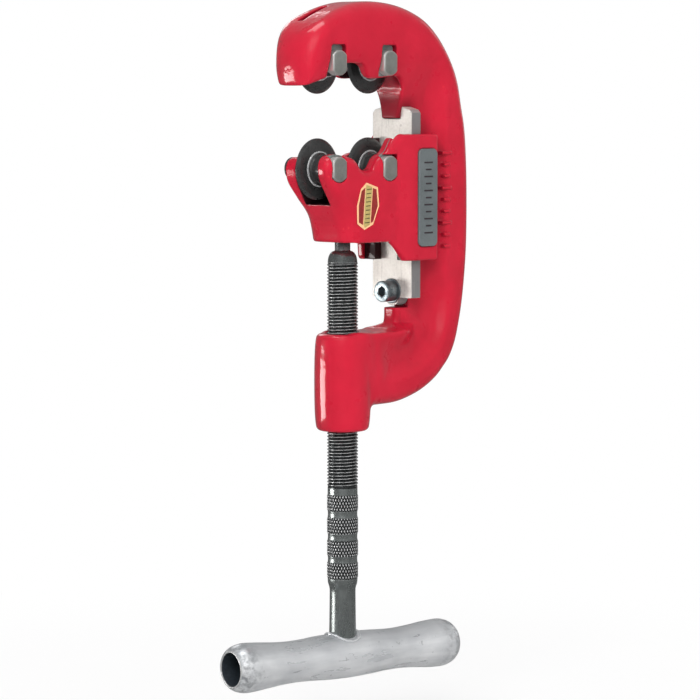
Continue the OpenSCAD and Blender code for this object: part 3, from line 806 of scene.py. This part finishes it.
def housing_body(X, Y, Z):
    def by_side(front, rear):
        return np.where(Y > 0, outline_field(X, Z, rear), outline_field(X, Z, front))

    side = np.abs(Y)
    body = by_side(spline(TOP_FRONT, 3) + GUIDE_EDGE + spline(LEFT_FRONT, 3)[::-1][:-1],
                   spline(TOP_REAR, 3) + GUIDE_EDGE + spline(LEFT_REAR, 3)[::-1][:-1])
    # nearly straight cheeks, swelling into the guide walls; lower nose rounded in plan
    width = 16.45 + 2.55 * ease(X, 23, 37)
    rounding = 4.6 - 2.6 * ease(X, 24, 34) + 5.5 * ease(-Z, 38, 52) * ease(-X, -8, 2)
    rounding = rounding - 2.6 * ease(-X, 4, 12) * ease(Y, 0, 6) * (1 - ease(-Z, 32, 42))
    body = round_overlap(body, side - width, rounding)
    # the guide wall's top stays square to it, and its bottom edge has a small radius
    body = smooth_max(body, by_side(WALL_FRONT + WALL_REST, WALL_REAR + WALL_REST), 1.8)
    # room between the guide walls, below the body and at its top
    gap = np.where((X > 33.4) & (X < 40), 7.6, 13.7)
    body = carve(body, overlap(side - gap, Z + 65.6, X - 60), 0.5)
    body = carve(body, overlap(side - 13.7, -17.6 - Z, 24 - X), 0.8)
    body = cut(body, overlap(side - 7, -22.8 - Z, 31 - X))
    # short lip beside the plate at the top, on the +Y side
    lip = overlap(around(X, 35.6, 2.0), around(Y, 9.9, 1.8), between(Z, -26, -12.0))
    body = join(body, lip, 0.8)
    # guide channel for the plate, with a narrower way through for the web
    channel = overlap(between(X, CHANNEL_X, 45.62), side - 14.08)
    channel = np.minimum(channel, overlap(CHANNEL_X - X, side - 6.2))
    body = cut(body, channel)
    # lips eased where they run past the web
    eased = (X - 50.5) * 0.75 - (side - 6.2) * 0.66
    return smooth_max(body, np.where(X > 45.6, eased, -5), 0.8)


def housing_field(spacing):
    low, high = (-32, -21.5, -79), (57, 20, -6)
    X, Y, Z = grid(low, high, spacing)
    side = np.abs(Y)
    body = housing_body(X, Y, Z)
    # wheel pocket, open above
    pocket = np.minimum(wheel_lobes(X, Z, -WHEEL_Z),
                        overlap(np.abs(X) - WHEEL_X - 16.6, -WHEEL_Z - Z))
    pocket = np.minimum(pocket, overlap(X - WHEEL_X, -45.6 - Z))
    body = carve(body, overlap(pocket, side - POCKET_HALF), 0.8)
    # relief for the stop screw head
    body = carve(body, overlap(29.4 - X, side - 7, Z + 55.6), 0.5)
    # bore for the neck of the screw
    body = cut(body, overlap(np.sqrt(X * X + Y * Y) - 4.12, Z + 50.1))
    for s in (-1, 1):
        x = s * WHEEL_X
        body = cut(body, disc(X, Z, x, -WHEEL_Z, PIN_BORE_R))
        # slot for the pin head: round below, and at -X open above
        upper = -9.0 if s < 0 else Z + WHEEL_Z - 7.1
        slot = np.where(Z > -WHEEL_Z, upper, disc(X, Z, x, -WHEEL_Z, 6.75))
        slot = overlap(around(X, x, 5.3), slot, -WHEEL_Z - 12 - Z, Y - SLOT_Y)
        body = carve(body, slot, 0.45)
        if s > 0:                        # spot face for the clip
            face = overlap(disc(X, Z, x, -WHEEL_Z, 7.4), 16.5 - Y)
            body = carve(body, face, 0.3)
        # blind hole beside the neck bore, from the +Y side
        body = cut(body, overlap(disc(X, Z, s * 4.2, -59.5, 1.32), -9 - Y))
    # seat of the badge
    seat = round_overlap(around(X, BADGE_X, 7.3), around(Z, BADGE_Z, 25.8), 3.0)
    body = carve(body, overlap(seat, Y + 18.5), 0.35)
    return body.astype(np.float32), low


def build_housing():
    spacing = 0.48
    verts, faces = keep_largest(*surface_nets(*housing_field(spacing), spacing))
    cx, cy, cz = verts[faces].mean(1).T
    slot_floor = ((np.abs(np.abs(cx) - WHEEL_X) < 5.15) & (np.abs(cy - SLOT_Y) < 0.3)
                  & (cz > -WHEEL_Z - 6.6))
    channel_face = (np.abs(cx - CHANNEL_X) < 0.3) & (np.abs(cy) < 14)
    obj = mesh_object("housing_casting", verts, faces, [PAINT, SLOT_FLOOR],
                      (slot_floor | channel_face).astype(int))
    x, y, z = verts.T
    side = np.abs(y)
    pocket = np.minimum(np.hypot(np.abs(x) - WHEEL_X, z + WHEEL_Z) - POCKET_OUTER_R,
                        overlap(x - WHEEL_X, -45.6 - z))
    # painted shade under the body between the guide walls, and at the short lip on the +Y side
    under = (x > 32) & (x < 41) & (side > 6.5)
    under = under * fade(-65.0 - z, 0.6) * fade(14.4 - side, 0.4)
    lip = ((x > 32.8) & (x < 38.2) & (y > 7.4) & (y < 12.4)) * fade(z + 22.6, 0.8)
    painted_shade = pocket_painted_shade(verts, np.where(z > -11, 5.0, pocket), np.maximum(under, lip))
    add_values(obj, "painted_shade", painted_shade)
    add_values(obj, "dull", 0.85 * fade(y - 6, 3) * fade(-17 - x, 4))
    hand_over(obj, "housing", "slide_housing")


# ------------------------------------------------------------------ wheels
# Half section of a cutter wheel: (radius, y, fillet radius), from the bore to the edge
WHEEL_HALF = [
    (4.8, 6.0, 0), (4.8, 7.7, 0.25), (5.3, 8.2, 0.25), (6.8, 8.2, 0.3), (7.4, 7.6, 0.35),
    (7.4, 3.4, 0.9), (8.5, 2.3, 0.5), (9.1, 2.3, 0.18), (9.3, 1.85, 0.15), (11.6, 1.7, 2.0),
    (14.2, 1.28, 0.9), (15.45, 0.42, 0.15), (WHEEL_R, 0.07, 0)]


def build_wheel(tag, x, z):
    half = fillet(WHEEL_HALF, 3)
    profile = half + [(r, -y) for r, y in reversed(half)]
    verts, faces = revolve_y(profile, 112, closed=True)
    centre = verts[np.array(faces)].mean(1)
    radius, out = np.hypot(centre[:, 0], centre[:, 2]), np.abs(centre[:, 1])
    # lighter rings painted as highlights: the step beside the hub, the rim of the hub and the
    # cutting bevel
    bright = (((radius > 8.55) & (radius < 9.32) & (out > 1.6))
              | ((radius > 7.0) & (radius < 7.5) & (out > 7.5))
              | ((radius > 15.3) & (radius < 15.6)))
    obj = mesh_object("cutter_" + tag, verts + np.array([x, 0, z]), faces,
                      [WHEEL_STEEL, PAINTED_HIGHLIGHT_STEEL], bright.astype(int))
    face_outwards(obj, sharp=32)
    hand_over(obj, "wheel_" + tag, "wheel_" + tag)


# ------------------------------------------------------------------ pins
HEAD_R, HEAD_FLAT = 6.5, 5.15           # radius of the head, and half the width over its flats
HEAD_RINGS = [(0, -12.52), (0, -16.15), (0.12, -16.35), (0.65, -16.75), (0.85, -16.8)]  # inset, y
# Shank with the clip groove near its +Y end: (radius, y, fillet radius)
SHANK = [(0, -12.6, 0), (4.75, -12.6, 0), (4.75, 16.95, 0.08), (4.0, 16.95, 0.08),
         (4.0, 17.95, 0.08), (4.75, 17.95, 0.08), (4.75, 18.8, 0.2), (4.1, 19.4, 0.25),
         (0, 19.4, 0)]


def head_outline(radius, flat, steps=9):
    """Circle with a flat on its +X and -X sides, as two arcs"""
    first = math.acos(flat / radius)
    points = []
    for start in (first, math.pi + first):
        for k in range(steps + 1):
            a = start + (math.pi - 2 * first) * k / steps
            points.append((radius * math.cos(a), radius * math.sin(a)))
    return points


def build_pin(tag, x, z, body):
    verts = []
    for inset, y in HEAD_RINGS:
        outline = head_outline(HEAD_R - inset, HEAD_FLAT - inset)
        verts += [(x + dx, y, z + dz) for dx, dz in outline]
    faces = capped_stack(len(HEAD_RINGS), len(outline))
    start = len(verts)
    shank_verts, shank_faces = revolve_y(fillet(SHANK, 2), 64)
    verts += [tuple(v) for v in shank_verts + np.array([x, 0, z])]
    faces += [tuple(i + start for i in face) for face in shank_faces]
    obj = mesh_object("axle_" + tag, verts, faces, [PIN_STEEL])
    face_outwards(obj, sharp=28)
    hand_over(obj, body, "pin_" + tag)


# ------------------------------------------------------------------ feed screw
SCREW_R, ROOT_R = 8.1, 7.32
SCREW_TOP = -54.05
PITCH, THREAD_START, THREAD_END = 1.7, -76.0, -193.6
BANDS, BAND_TOP, BAND_PITCH, BAND_LENGTH = 4, -198.2, 11.93, 8.5     # knurled bands
KNURL_TEETH, KNURL_ANGLE = 32, math.radians(26)
LAST_BAND_END = BAND_TOP - (BANDS - 1) * BAND_PITCH - BAND_LENGTH
PLAIN, THREAD, KNURL = 0, 1, 2

# (radius, z) down the neck, with the groove for the retaining pins
NECK = [(3.4, SCREW_TOP), (3.8, -54.2), (4.05, -54.55), (4.05, -58.0), (3.95, -58.1),
        (2.85, -58.12), (2.85, -60.88), (3.95, -60.9), (4.05, -61.0), (4.05, -66),
        (4.05, -69.9), (4.2, -70.3)]
# (radius, distance below the last band), then (radius, z) down the shank
BELOW_BANDS = [(7.86, 0.5), (7.84, 1.4), (7.7, 2.4), (7.45, 3.3), (7.15, 4.2), (6.95, 5.0),
               (6.84, 5.8), (6.8, 7)]
LOWER_SHANK = [(6.82, -252), (6.88, -258), (6.98, -266), (7.08, -271), (7.08, -279), (6.6, -283)]
# (share of the gap, radius) between two bands
BAND_GAP = [(0.12, 7.82), (0.3, 7.74), (0.5, 7.72), (0.7, 7.74), (0.88, 7.82)]


def screw_stations():
    """Rings down the screw as (z, radius, kind); thread and knurl are shaped afterwards"""
    dome = []
    for k in range(1, 10):
        a = math.radians(90 * k / 9)
        dome.append((4.2 + 3.5 * math.sin(a), -70.3 - 5.6 * (1 - math.cos(a))))
    stations = [(z, r, PLAIN) for r, z in NECK + dome]
    z = THREAD_START
    while z > THREAD_END - 0.8:
        stations.append((z, SCREW_R, THREAD))
        z -= PITCH / 9
    stations += [(z, 7.86, PLAIN) for z in (-194.6, -196.4, BAND_TOP + 0.35)]
    rows = 40
    for band in range(BANDS):
        top = BAND_TOP - band * BAND_PITCH
        bottom = top - BAND_LENGTH
        stations.append((top, 7.9, PLAIN))
        for k in range(rows + 1):
            z = top - 0.12 - (BAND_LENGTH - 0.24) * k / rows
            stations.append((z, SCREW_R, KNURL))
        stations.append((bottom, 7.9, PLAIN))
        if band < BANDS - 1:
            gap = BAND_PITCH - BAND_LENGTH
            stations += [(bottom - gap * share, r, PLAIN) for share, r in BAND_GAP]
    stations += [(LAST_BAND_END - drop, r, PLAIN) for r, drop in BELOW_BANDS]
    return stations + [(z, r, PLAIN) for r, z in LOWER_SHANK]


def thread_shape(z, angle):
    """Right-hand V thread with small crest and root flats: radius, and crest lightening that is
    partly wear and partly a painted highlight
    """
    phase = (z / PITCH - angle / (2 * np.pi)) % 1.0
    height = np.abs(phase - 0.5) * 2                # 0 root .. 1 crest
    tooth = np.clip((height - 0.14) / 0.66, 0, 1)
    tooth = tooth * tooth * (3 - 2 * tooth) * 0.35 + tooth * 0.65
    run = np.minimum(fade(-75.9 - z, 2.2), fade(z - (THREAD_END - 0.6), 1.6))
    radius = (ROOT_R + (SCREW_R - ROOT_R) * tooth) * run + (1 - run) * 7.80
    # the lightening follows the helix exactly, so its lines stay clean
    return radius, fade(height - 0.79, 0.13) * run


def knurl_shape(z, angle, from_end):
    """Diamond knurl, from two families of helical grooves: radius, and crest lightening that is
    partly wear and partly a painted highlight
    """
    groove_pitch = 2 * np.pi * SCREW_R / KNURL_TEETH / math.tan(KNURL_ANGLE)    # along Z
    u = angle * KNURL_TEETH / (2 * np.pi)
    w = z / groove_pitch
    rising = np.abs(((u + w) % 1.0) - 0.5) * 2
    falling = np.abs(((u - w) % 1.0) - 0.5) * 2
    height = np.minimum(rising, falling)
    edge = fade(from_end, 0.5)
    radius = 7.50 + 0.14 * edge + 0.56 * fade(height, 0.62) * (0.35 + 0.65 * edge)
    return radius, fade(height - 0.44, 0.18)


def build_screw():
    size = 256
    zs, base, kinds = [np.array(column) for column in zip(*screw_stations())]
    angle = (np.arange(size) + 0.27) * 2 * np.pi / size
    radius = np.repeat(base[:, None], size, 1)
    heights = np.repeat(zs[:, None], size, 1)
    shine = np.zeros(heights.shape, np.float32)
    rows = kinds == THREAD
    radius[rows], shine[rows] = thread_shape(heights[rows], angle[None, :])
    shine[(zs > -76.5) & (zs < -66)] = 0.36         # the domed end gets an even painted sheen
    from_end = np.zeros(len(zs))
    for band in range(BANDS):
        top = BAND_TOP - band * BAND_PITCH
        bottom = top - BAND_LENGTH
        inside = (zs <= top) & (zs >= bottom)
        from_end[inside] = np.minimum(top - zs[inside], zs[inside] - bottom)
    rows = kinds == KNURL
    radius[rows], shine[rows] = knurl_shape(heights[rows], angle[None, :],
                                            from_end[rows][:, None])
    verts = np.stack([radius * np.cos(angle), radius * np.sin(angle), heights], 2).reshape(-1, 3)
    top, bottom = len(verts), len(verts) + 1
    verts = np.vstack([verts, [[0, 0, SCREW_TOP], [0, 0, zs[-1]]]])
    faces = ring_quads(len(zs), size, closed=False).tolist()
    faces += [(top, k, (k + 1) % size) for k in range(size)]
    last = (len(zs) - 1) * size
    faces += [(bottom, last + (k + 1) % size, last + k) for k in range(size)]
    # black thread and knurl, bare shank, domed end
    upper = zs[:-1]
    plain = (kinds[:-1] == PLAIN) & (kinds[1:] == PLAIN) & (upper < THREAD_END - 0.6)
    dome = (upper < -66) & (upper > -76.6) & (kinds[:-1] == PLAIN)
    slots = np.where(dome, 2, plain | (upper < LAST_BAND_END - 0.3)).astype(int)
    slots = np.concatenate([np.repeat(slots, size), np.zeros(size, int), np.ones(size, int)])
    obj = mesh_object("feed_screw_threaded", verts, faces,
                      [BLACK_OXIDE, SHANK_STEEL, DOMED_END], slots)
    add_values(obj, "shine", np.concatenate([shine.ravel(), [0, 0]]))
    hand_over(obj, "screw", "feed_screw")


# ------------------------------------------------------------------ handle
# (distance along the axis, radius): one half of the outside, then the lip and the bore
TUBE_HALF = [
    (-71.6, 9.9), (-71.2, 10.35), (-70.2, 11.1), (-68.6, 11.9), (-66.5, 12.5), (-64.3, 12.8),
    (-62, 12.85), (-57, 12.55), (-50, 11.9), (-41, 11.15), (-33, 10.9), (-25, 11.12),
    (-18, 11.55), (-12, 11.85), (-6, 12.05), (0, 12.1)]
TUBE_LIP = [(71.75, 9.72), (71.98, 9.6), (72.15, 9.35), (72.12, 9.05), (71.9, 8.85),
            (71.4, 8.75), (64, 8.75)]
TUBE_BORE = [(60, 9.4), (41, 9.0), (20, 9.0), (0, 9.0), (-20, 9.0), (-41, 9.0), (-60, 9.4)]


def mirrored(points):
    return [(-s, r) for s, r in reversed(points)]


def tube_dents(s, cos, sin):
    """Change of the outer radius at s along the tube: waves, a flat and small pits"""
    change = 0.16 * noise.noise(Vector((s * 0.045, cos * 0.9, sin * 0.9)))
    change += 0.07 * noise.noise(Vector((s * 0.16 + 7, cos * 2.2, sin * 2.2)))
    # flattened where the tube was pressed to take the shank
    change -= 0.25 * math.exp(-(s / 13) ** 2) * max(0, cos) ** 6
    if abs(s) < 66:
        pit = noise.noise(Vector((s * 0.42 + 3, cos * 4.6, sin * 4.6)))
        change -= 0.06 * max(0, pit - 0.36) / 0.4
    return change


def build_handle():
    outer = TUBE_HALF + mirrored(TUBE_HALF[:-1])
    # the gentle part is sampled evenly along the axis, the ends at their own stations
    ends = [s for s, _ in outer if abs(s) > 66]
    stations = sorted(set(ends + list(np.linspace(-66, 66, 99))))
    curve_s, curve_r = zip(*spline(outer, 6))
    outside = [(s, float(np.interp(s, curve_s, curve_r))) for s in stations]
    loop = outside + TUBE_LIP + TUBE_BORE + mirrored(TUBE_LIP)
    size = 112
    verts = []
    for i, (s, radius) in enumerate(loop):
        for k in range(size):
            a = 2 * math.pi * k / size                  # 0 = up
            cos, sin = math.cos(a), math.sin(a)
            r = radius + (tube_dents(s, cos, sin) if i < len(outside) else 0)
            verts.append(HANDLE_AXIS * s + HANDLE_SIDE * (r * sin)
                         + np.array([0, 0, HANDLE_Z + r * cos]))
    # slots: 0 outside, 1 bore, 2 lips at both ends, lighter as a painted highlight
    slots = np.full(len(loop), 2)
    slots[:len(outside) - 1] = 0
    slots[len(outside) + 5:len(loop) - 6] = 1
    obj = mesh_object("handle_tube_swaged", verts, ring_quads(len(loop), size, closed=True),
                      [GALVANISED, TUBE_INSIDE, PAINTED_HIGHLIGHT_STEEL], np.repeat(slots, size))
    face_outwards(obj, sharp=50)
    hand_over(obj, "screw", "handle_tube")


def build_collar():
    """Uneven weld bead round the shank, lying on top of the tube"""
    around_count, section_count, tube_r = 96, 20, 12.0
    verts = []
    for i in range(around_count):
        a = 2 * math.pi * i / around_count
        cos, sin = math.cos(a), math.sin(a)
        ring_r = 8.35 + 0.20 * noise.noise(Vector((cos * 1.7, sin * 1.7, 3.0)))
        bead_r = 1.15 + 0.22 * noise.noise(Vector((cos * 3.1, sin * 3.1, 9.0)))
        across = ring_r * cos * HANDLE_SIDE[0] + ring_r * sin * HANDLE_SIDE[1]
        tube_top = HANDLE_Z + math.sqrt(tube_r ** 2 - across ** 2)
        for k in range(section_count):
            b = 2 * math.pi * k / section_count
            r = ring_r + bead_r * 1.05 * math.cos(b)
            verts.append((r * cos, r * sin, tube_top + 0.1 + bead_r * 0.72 * math.sin(b)))
    obj = mesh_object("handle_weld_bead", verts,
                      ring_quads(around_count, section_count, closed=True), [GALVANISED])
    face_outwards(obj)
    hand_over(obj, "screw", "handle_collar")


# ------------------------------------------------------------------ badge and label
class Prisms:
    """Collects flat plates that face -Y, each with a material slot"""

    def __init__(self):
        self.verts, self.faces, self.slots = [], [], []

    def add(self, outline, back, front, chamfer, slot):
        """Closed (x, z) outline from y = back to y = front, chamfered at the front"""
        outline = np.array(outline, float)
        edge = np.roll(outline, -1, 0) - np.roll(outline, 1, 0)
        normal = np.stack([edge[:, 1], -edge[:, 0]], 1)
        normal /= np.linalg.norm(normal, axis=1)[:, None] + 1e-9
        if ((outline - np.mean(outline, 0)) * normal).sum() < 0:
            normal = -normal
        inset = outline - normal * chamfer
        faces = capped_stack(3, len(outline), len(self.verts))
        for ring, y in ((outline, back), (outline, front + chamfer), (inset, front)):
            self.verts += [(x, y, z) for x, z in ring]
        self.faces += faces
        self.slots += [slot] * len(faces)

    def build(self, name, materials):
        obj = mesh_object(name, self.verts, self.faces, materials, self.slots, smooth=False)
        face_outwards(obj)
        return obj


def rounded_rect(x, z, half_x, half_z, radius, steps):
    points = []
    for sx, sz, start in ((1, 1, 0), (-1, 1, 90), (-1, -1, 180), (1, -1, 270)):
        for k in range(steps + 1):
            a = math.radians(start + 90 * k / steps)
            points.append((x + sx * (half_x - radius) + radius * math.cos(a),
                           z + sz * (half_z - radius) + radius * math.sin(a)))
    return points


def build_badge():
    plates = Prisms()
    plates.add(rounded_rect(BADGE_X, BADGE_Z, half_x=7.2, half_z=25.7, radius=3.0, steps=6),
               back=-18.52, front=-19.8, chamfer=0.25, slot=0)
    # a plain ruled pattern of long and short bars
    for k in range(11):
        half = 3.4 if k % 2 == 0 else 2.2
        z = BADGE_Z + (k - 5) * 3.7
        plates.add(rounded_rect(BADGE_X, z, half, half_z=0.42, radius=0.3, steps=3),
                   back=-19.75, front=-19.92, chamfer=0.04, slot=1)
    obj = plates.build("guide_badge_plate", [BADGE_GREY, BADGE_MARK])
    hand_over(obj, "housing", "guide_badge")


LABEL_X, LABEL_Y, LABEL_Z = 2.0, -16.47, -46.6
# Outlines as (x, z) from the middle of the label
LABEL_OUTER = [(-1.4, 12.2), (-5.6, 9), (-8.6, 0.4), (-8.4, -9), (-3, -12.2), (3.6, -9.6),
               (8.2, 0), (7.2, 9.6)]
LABEL_LEFT = [(-2.4, 9.6), (-5.2, 8), (-7.4, 0.3), (-7.4, -8.2), (-4.2, -9.6)]
LABEL_RIGHT = [(3.4, 9.3), (6.1, 8.6), (7.1, 0), (3.6, -8.0), (1.6, -8.9)]
LABEL_MIDDLE = [(-1.5, 11.0), (-1.9, 9.4), (-3.7, -9.6), (-2.9, -11.2), (1.0, -9.6),
                (2.9, 9.2), (2.6, 10.0)]


def build_label():
    plates = Prisms()

    def add(outline, back, front, slot):
        placed = [(LABEL_X + x, LABEL_Z + z) for x, z in outline]
        plates.add(placed, LABEL_Y + back, LABEL_Y + front, chamfer=0.02, slot=slot)

    add(LABEL_OUTER, back=0.05, front=-0.10, slot=0)
    for outline, slot in ((LABEL_LEFT, 1), (LABEL_RIGHT, 1), (LABEL_MIDDLE, 2)):
        add(outline, back=0, front=-0.14, slot=slot)
    # slanted rules down the middle stripe
    for k in range(9):
        t = k / 8
        x, z = 0.6 - 1.6 * t, 8.6 - 17.2 * t
        rule = [(x - 1.75, z - 0.28), (x + 1.75, z - 0.05), (x + 1.75, z + 0.5),
                (x - 1.75, z + 0.27)]
        add(rule, back=-0.1, front=-0.17, slot=3)
    obj = plates.build("rating_label_film",
                       [LABEL_BORDER, LABEL_PANEL, LABEL_STRIPE, LABEL_RULE])
    hand_over(obj, "housing", "rating_label")


# ------------------------------------------------------------------ CAD pieces
MERGE = 0.00002                         # metres


def dress(name, material, bevel=0.0):
    """Keeps a CAD piece, with a new material and optionally eased edges"""
    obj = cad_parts[name]
    obj.data.materials.clear()
    obj.data.materials.append(material)
    if bevel:
        obj.modifiers.new("weld", "WELD").merge_threshold = MERGE
        ease_edges = obj.modifiers.new("bevel", "BEVEL")
        ease_edges.width = bevel * MM
        ease_edges.segments = 2
        ease_edges.limit_method = "ANGLE"
        ease_edges.angle_limit = math.radians(35)
        ease_edges.harden_normals = True
        obj.data.polygons.foreach_set("use_smooth", [True] * len(obj.data.polygons))


def build_plate():
    """The guide plate with its outer edges eased; the rim of the screw hole is left sharp"""
    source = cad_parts["wear_plate"]
    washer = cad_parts["stop_washer"]
    hole = washer.matrix_world @ (sum((Vector(b) for b in washer.bound_box), Vector()) / 8)
    hole_clear = 0.0075                 # metres

    def from_hole(edge):
        return min(math.hypot(v.co.y - hole.y, v.co.z - hole.z) for v in edge.verts)

    bm = bmesh.new()
    bm.from_mesh(source.data)
    bm.transform(source.matrix_world)
    bmesh.ops.remove_doubles(bm, verts=bm.verts, dist=MERGE)
    bmesh.ops.dissolve_limit(bm, angle_limit=math.radians(1), verts=bm.verts, edges=bm.edges)
    edges = [e for e in bm.edges if len(e.link_faces) == 2
             and e.calc_face_angle(0) > math.radians(35) and from_hole(e) > hole_clear]
    bmesh.ops.bevel(bm, geom=edges, offset=0.4 * MM, segments=3, affect="EDGES", profile=0.5)
    bmesh.ops.triangulate(bm, faces=[f for f in bm.faces if len(f.verts) > 4])
    bmesh.ops.recalc_face_normals(bm, faces=bm.faces)
    mesh = bpy.data.meshes.new("guide_plate_ground")
    bm.to_mesh(mesh)
    bm.free()
    mesh.materials.append(WEAR_STEEL)
    hand_over(link_object("guide_plate_ground", mesh), "frame", "wear_plate")


build_frame()
build_housing()
for level, body, z in (("upper", "frame", WHEEL_Z), ("lower", "housing", -WHEEL_Z)):
    for place, x in (("outer", -WHEEL_X), ("inner", WHEEL_X)):
        tag = level + "_" + place
        build_wheel(tag, x, z)
        build_pin(tag, x, z, body)
        dress("clip_" + tag, SPRING_STEEL, bevel=0.12)
build_screw()
build_handle()
build_collar()
build_badge()
build_label()
build_plate()
dress("stop_screw", ZINC_PLATED, bevel=0.35)
dress("stop_washer", ZINC_PLATED, bevel=0.15)
dress("retaining_pins", SPRING_STEEL, bevel=0.2)
dress("thrust_washer", PIN_STEEL, bevel=0.1)
dress("thrust_ball", ZINC_PLATED)

# ------------------------------------------------------------------ stage, in metres
FLOOR_DROP = 0.0312         # clear of the handle when the screw is wound right out
FLOOR_HALF = 30
WHITE = (1, 1, 1, 1)


def build_world(scene):
    """White to the camera; a soft grey that brightens upwards to everything else"""
    scene.world = bpy.data.worlds.new("studio")
    scene.world.use_nodes = True
    nodes = Nodes(scene.world.node_tree, "OutputWorld")
    camera_ray = nodes.add("LightPath").outputs["Is Camera Ray"]
    seen = nodes.add("Background", {0: WHITE, 1: 1.0})
    direction = nodes.add("TexCoord").outputs["Generated"]
    height = nodes.add("SeparateXYZ", {0: direction}).outputs[2]
    strength = nodes.remap(height, span=(-0.3, 1.0), to=(0.20, 0.42))
    lighting = nodes.add("Background", {0: WHITE, 1: strength})
    mixed = nodes.add("MixShader", {0: camera_ray, 1: lighting.outputs[0], 2: seen.outputs[0]})
    nodes.feed(nodes.output, {0: mixed.outputs[0]})


def build_floor():
    """Pale floor that turns pure white to the camera away from the tool"""
    z, far = CAD_LO[2] - FLOOR_DROP, FLOOR_HALF
    mesh = bpy.data.meshes.new("floor")
    mesh.from_pydata([(-far, -far, z), (far, -far, z), (far, far, z), (-far, far, z)],
                     [], [(0, 1, 2, 3)])
    floor = link_object("floor", mesh)
    material, nodes, shader = new_material("floor_pale")
    nodes.feed(shader, {"Base Color": (0.9, 0.9, 0.9, 1), "Roughness": 0.7,
                        "Specular IOR Level": 0.1})
    white = nodes.add("Emission", {0: WHITE, 1: 1.0})
    camera_ray = nodes.add("LightPath").outputs["Is Camera Ray"]
    position = nodes.add("NewGeometry").outputs["Position"]
    distance = nodes.add("VectorMath", {0: position}, operation="LENGTH").outputs["Value"]
    whiteness = nodes.remap(distance, span=(0.31, 0.62), to=(0.62, 1.0),
                            interpolation_type="SMOOTHSTEP")
    amount = nodes.calc("MULTIPLY", camera_ray, whiteness)
    mixed = nodes.add("MixShader", {0: amount, 1: shader.outputs[0], 2: white.outputs[0]})
    nodes.feed(nodes.output, {0: mixed.outputs[0]})
    mesh.materials.append(material)
    floor.visible_glossy = False


scene = bpy.context.scene
scene.view_settings.view_transform = "Standard"
scene.view_settings.look = "None"
build_world(scene)
build_floor()

# ------------------------------------------------------------------ camera
AZIMUTH, ELEVATION = math.radians(-47.0), math.radians(4.8)
CAMERA_DISTANCE = 1.664
CAMERA_RIGHT, CAMERA_DOWN = 0.0039, 0.121784    # shift from the line through the origin

back = Vector((math.sin(AZIMUTH) * math.cos(ELEVATION), -math.cos(AZIMUTH) * math.cos(ELEVATION),
               math.sin(ELEVATION)))
right = Vector((math.cos(AZIMUTH), math.sin(AZIMUTH), 0))
up = right.cross(-back)
lens = bpy.data.cameras.new("camera")
lens.sensor_width = 36
lens.lens = 164.5714286
lens.clip_start = 0.05
lens.clip_end = 100
camera = link_object("camera", lens)
camera.location = CAMERA_DISTANCE * back + CAMERA_RIGHT * right - CAMERA_DOWN * up
camera.rotation_euler = Matrix((right, up, back)).transposed().to_euler()
scene.camera = camera

# ------------------------------------------------------------------ lights
TARGET = Vector((0.02, 0, -0.11))
WARM, NEUTRAL = (1, 0.985, 0.96), (1, 1, 1)
# name, place from the target (right, away from the camera, up), size, power, the kind of
# ray that doesn't see it
LIGHTS = [
    ("strip_left", (-1.25, -0.03, -0.20), (0.60, 0.22), 6.0, "diffuse"),
    ("strip_upper", (-1.25, -0.03, -0.002), (0.34, 0.06), 0.7, "diffuse"),
    ("soft_front", (-0.22, -1.5, 0.88), (1.1, 0.9), 24.5, "glossy"),
    ("soft_sheen", (-0.22, -1.5, 0.88), (1.1, 0.9), 19, "diffuse"),
    ("soft_top", (-0.3, -0.2, 1.5), (0.75, 0.9), 11, "diffuse"),
    ("wash_top", (-0.2, -0.3, 1.7), (2.2, 2.2), 9, "glossy"),
    ("wash_right", (1.5, -0.9, 0.3), (1.6, 1.6), 9, "glossy"),
    ("wash_back", (0.5, 1.6, 0.7), (1.8, 1.8), 17, "glossy"),
    ("strip_back", (1.3, 1.3, 0.5), (0.30, 0.9), 1.1, "diffuse"),
    ("box_back", (-0.6, 1.7, 0.9), (0.6, 0.6), 3.0, "diffuse"),
]
LEVEL_STRIPS = ("strip_left", "strip_upper")    # warm, and aimed level to the right

away = Vector((-back.x, -back.y, 0)).normalized()
for name, (x, y, z), (width, height), power, hidden in LIGHTS:
    level = name in LEVEL_STRIPS
    light = bpy.data.lights.new(name, "AREA")
    light.shape = "RECTANGLE"
    light.size, light.size_y = width, height
    light.energy = power
    light.color = WARM if level else NEUTRAL
    lamp = link_object(name, light)
    place = TARGET + right * x + away * y + Vector((0, 0, z))
    aim = right if level else TARGET - place
    lamp.location = place
    lamp.rotation_euler = aim.to_track_quat("-Z", "Y").to_euler()
    setattr(lamp, "visible_" + hidden, False)
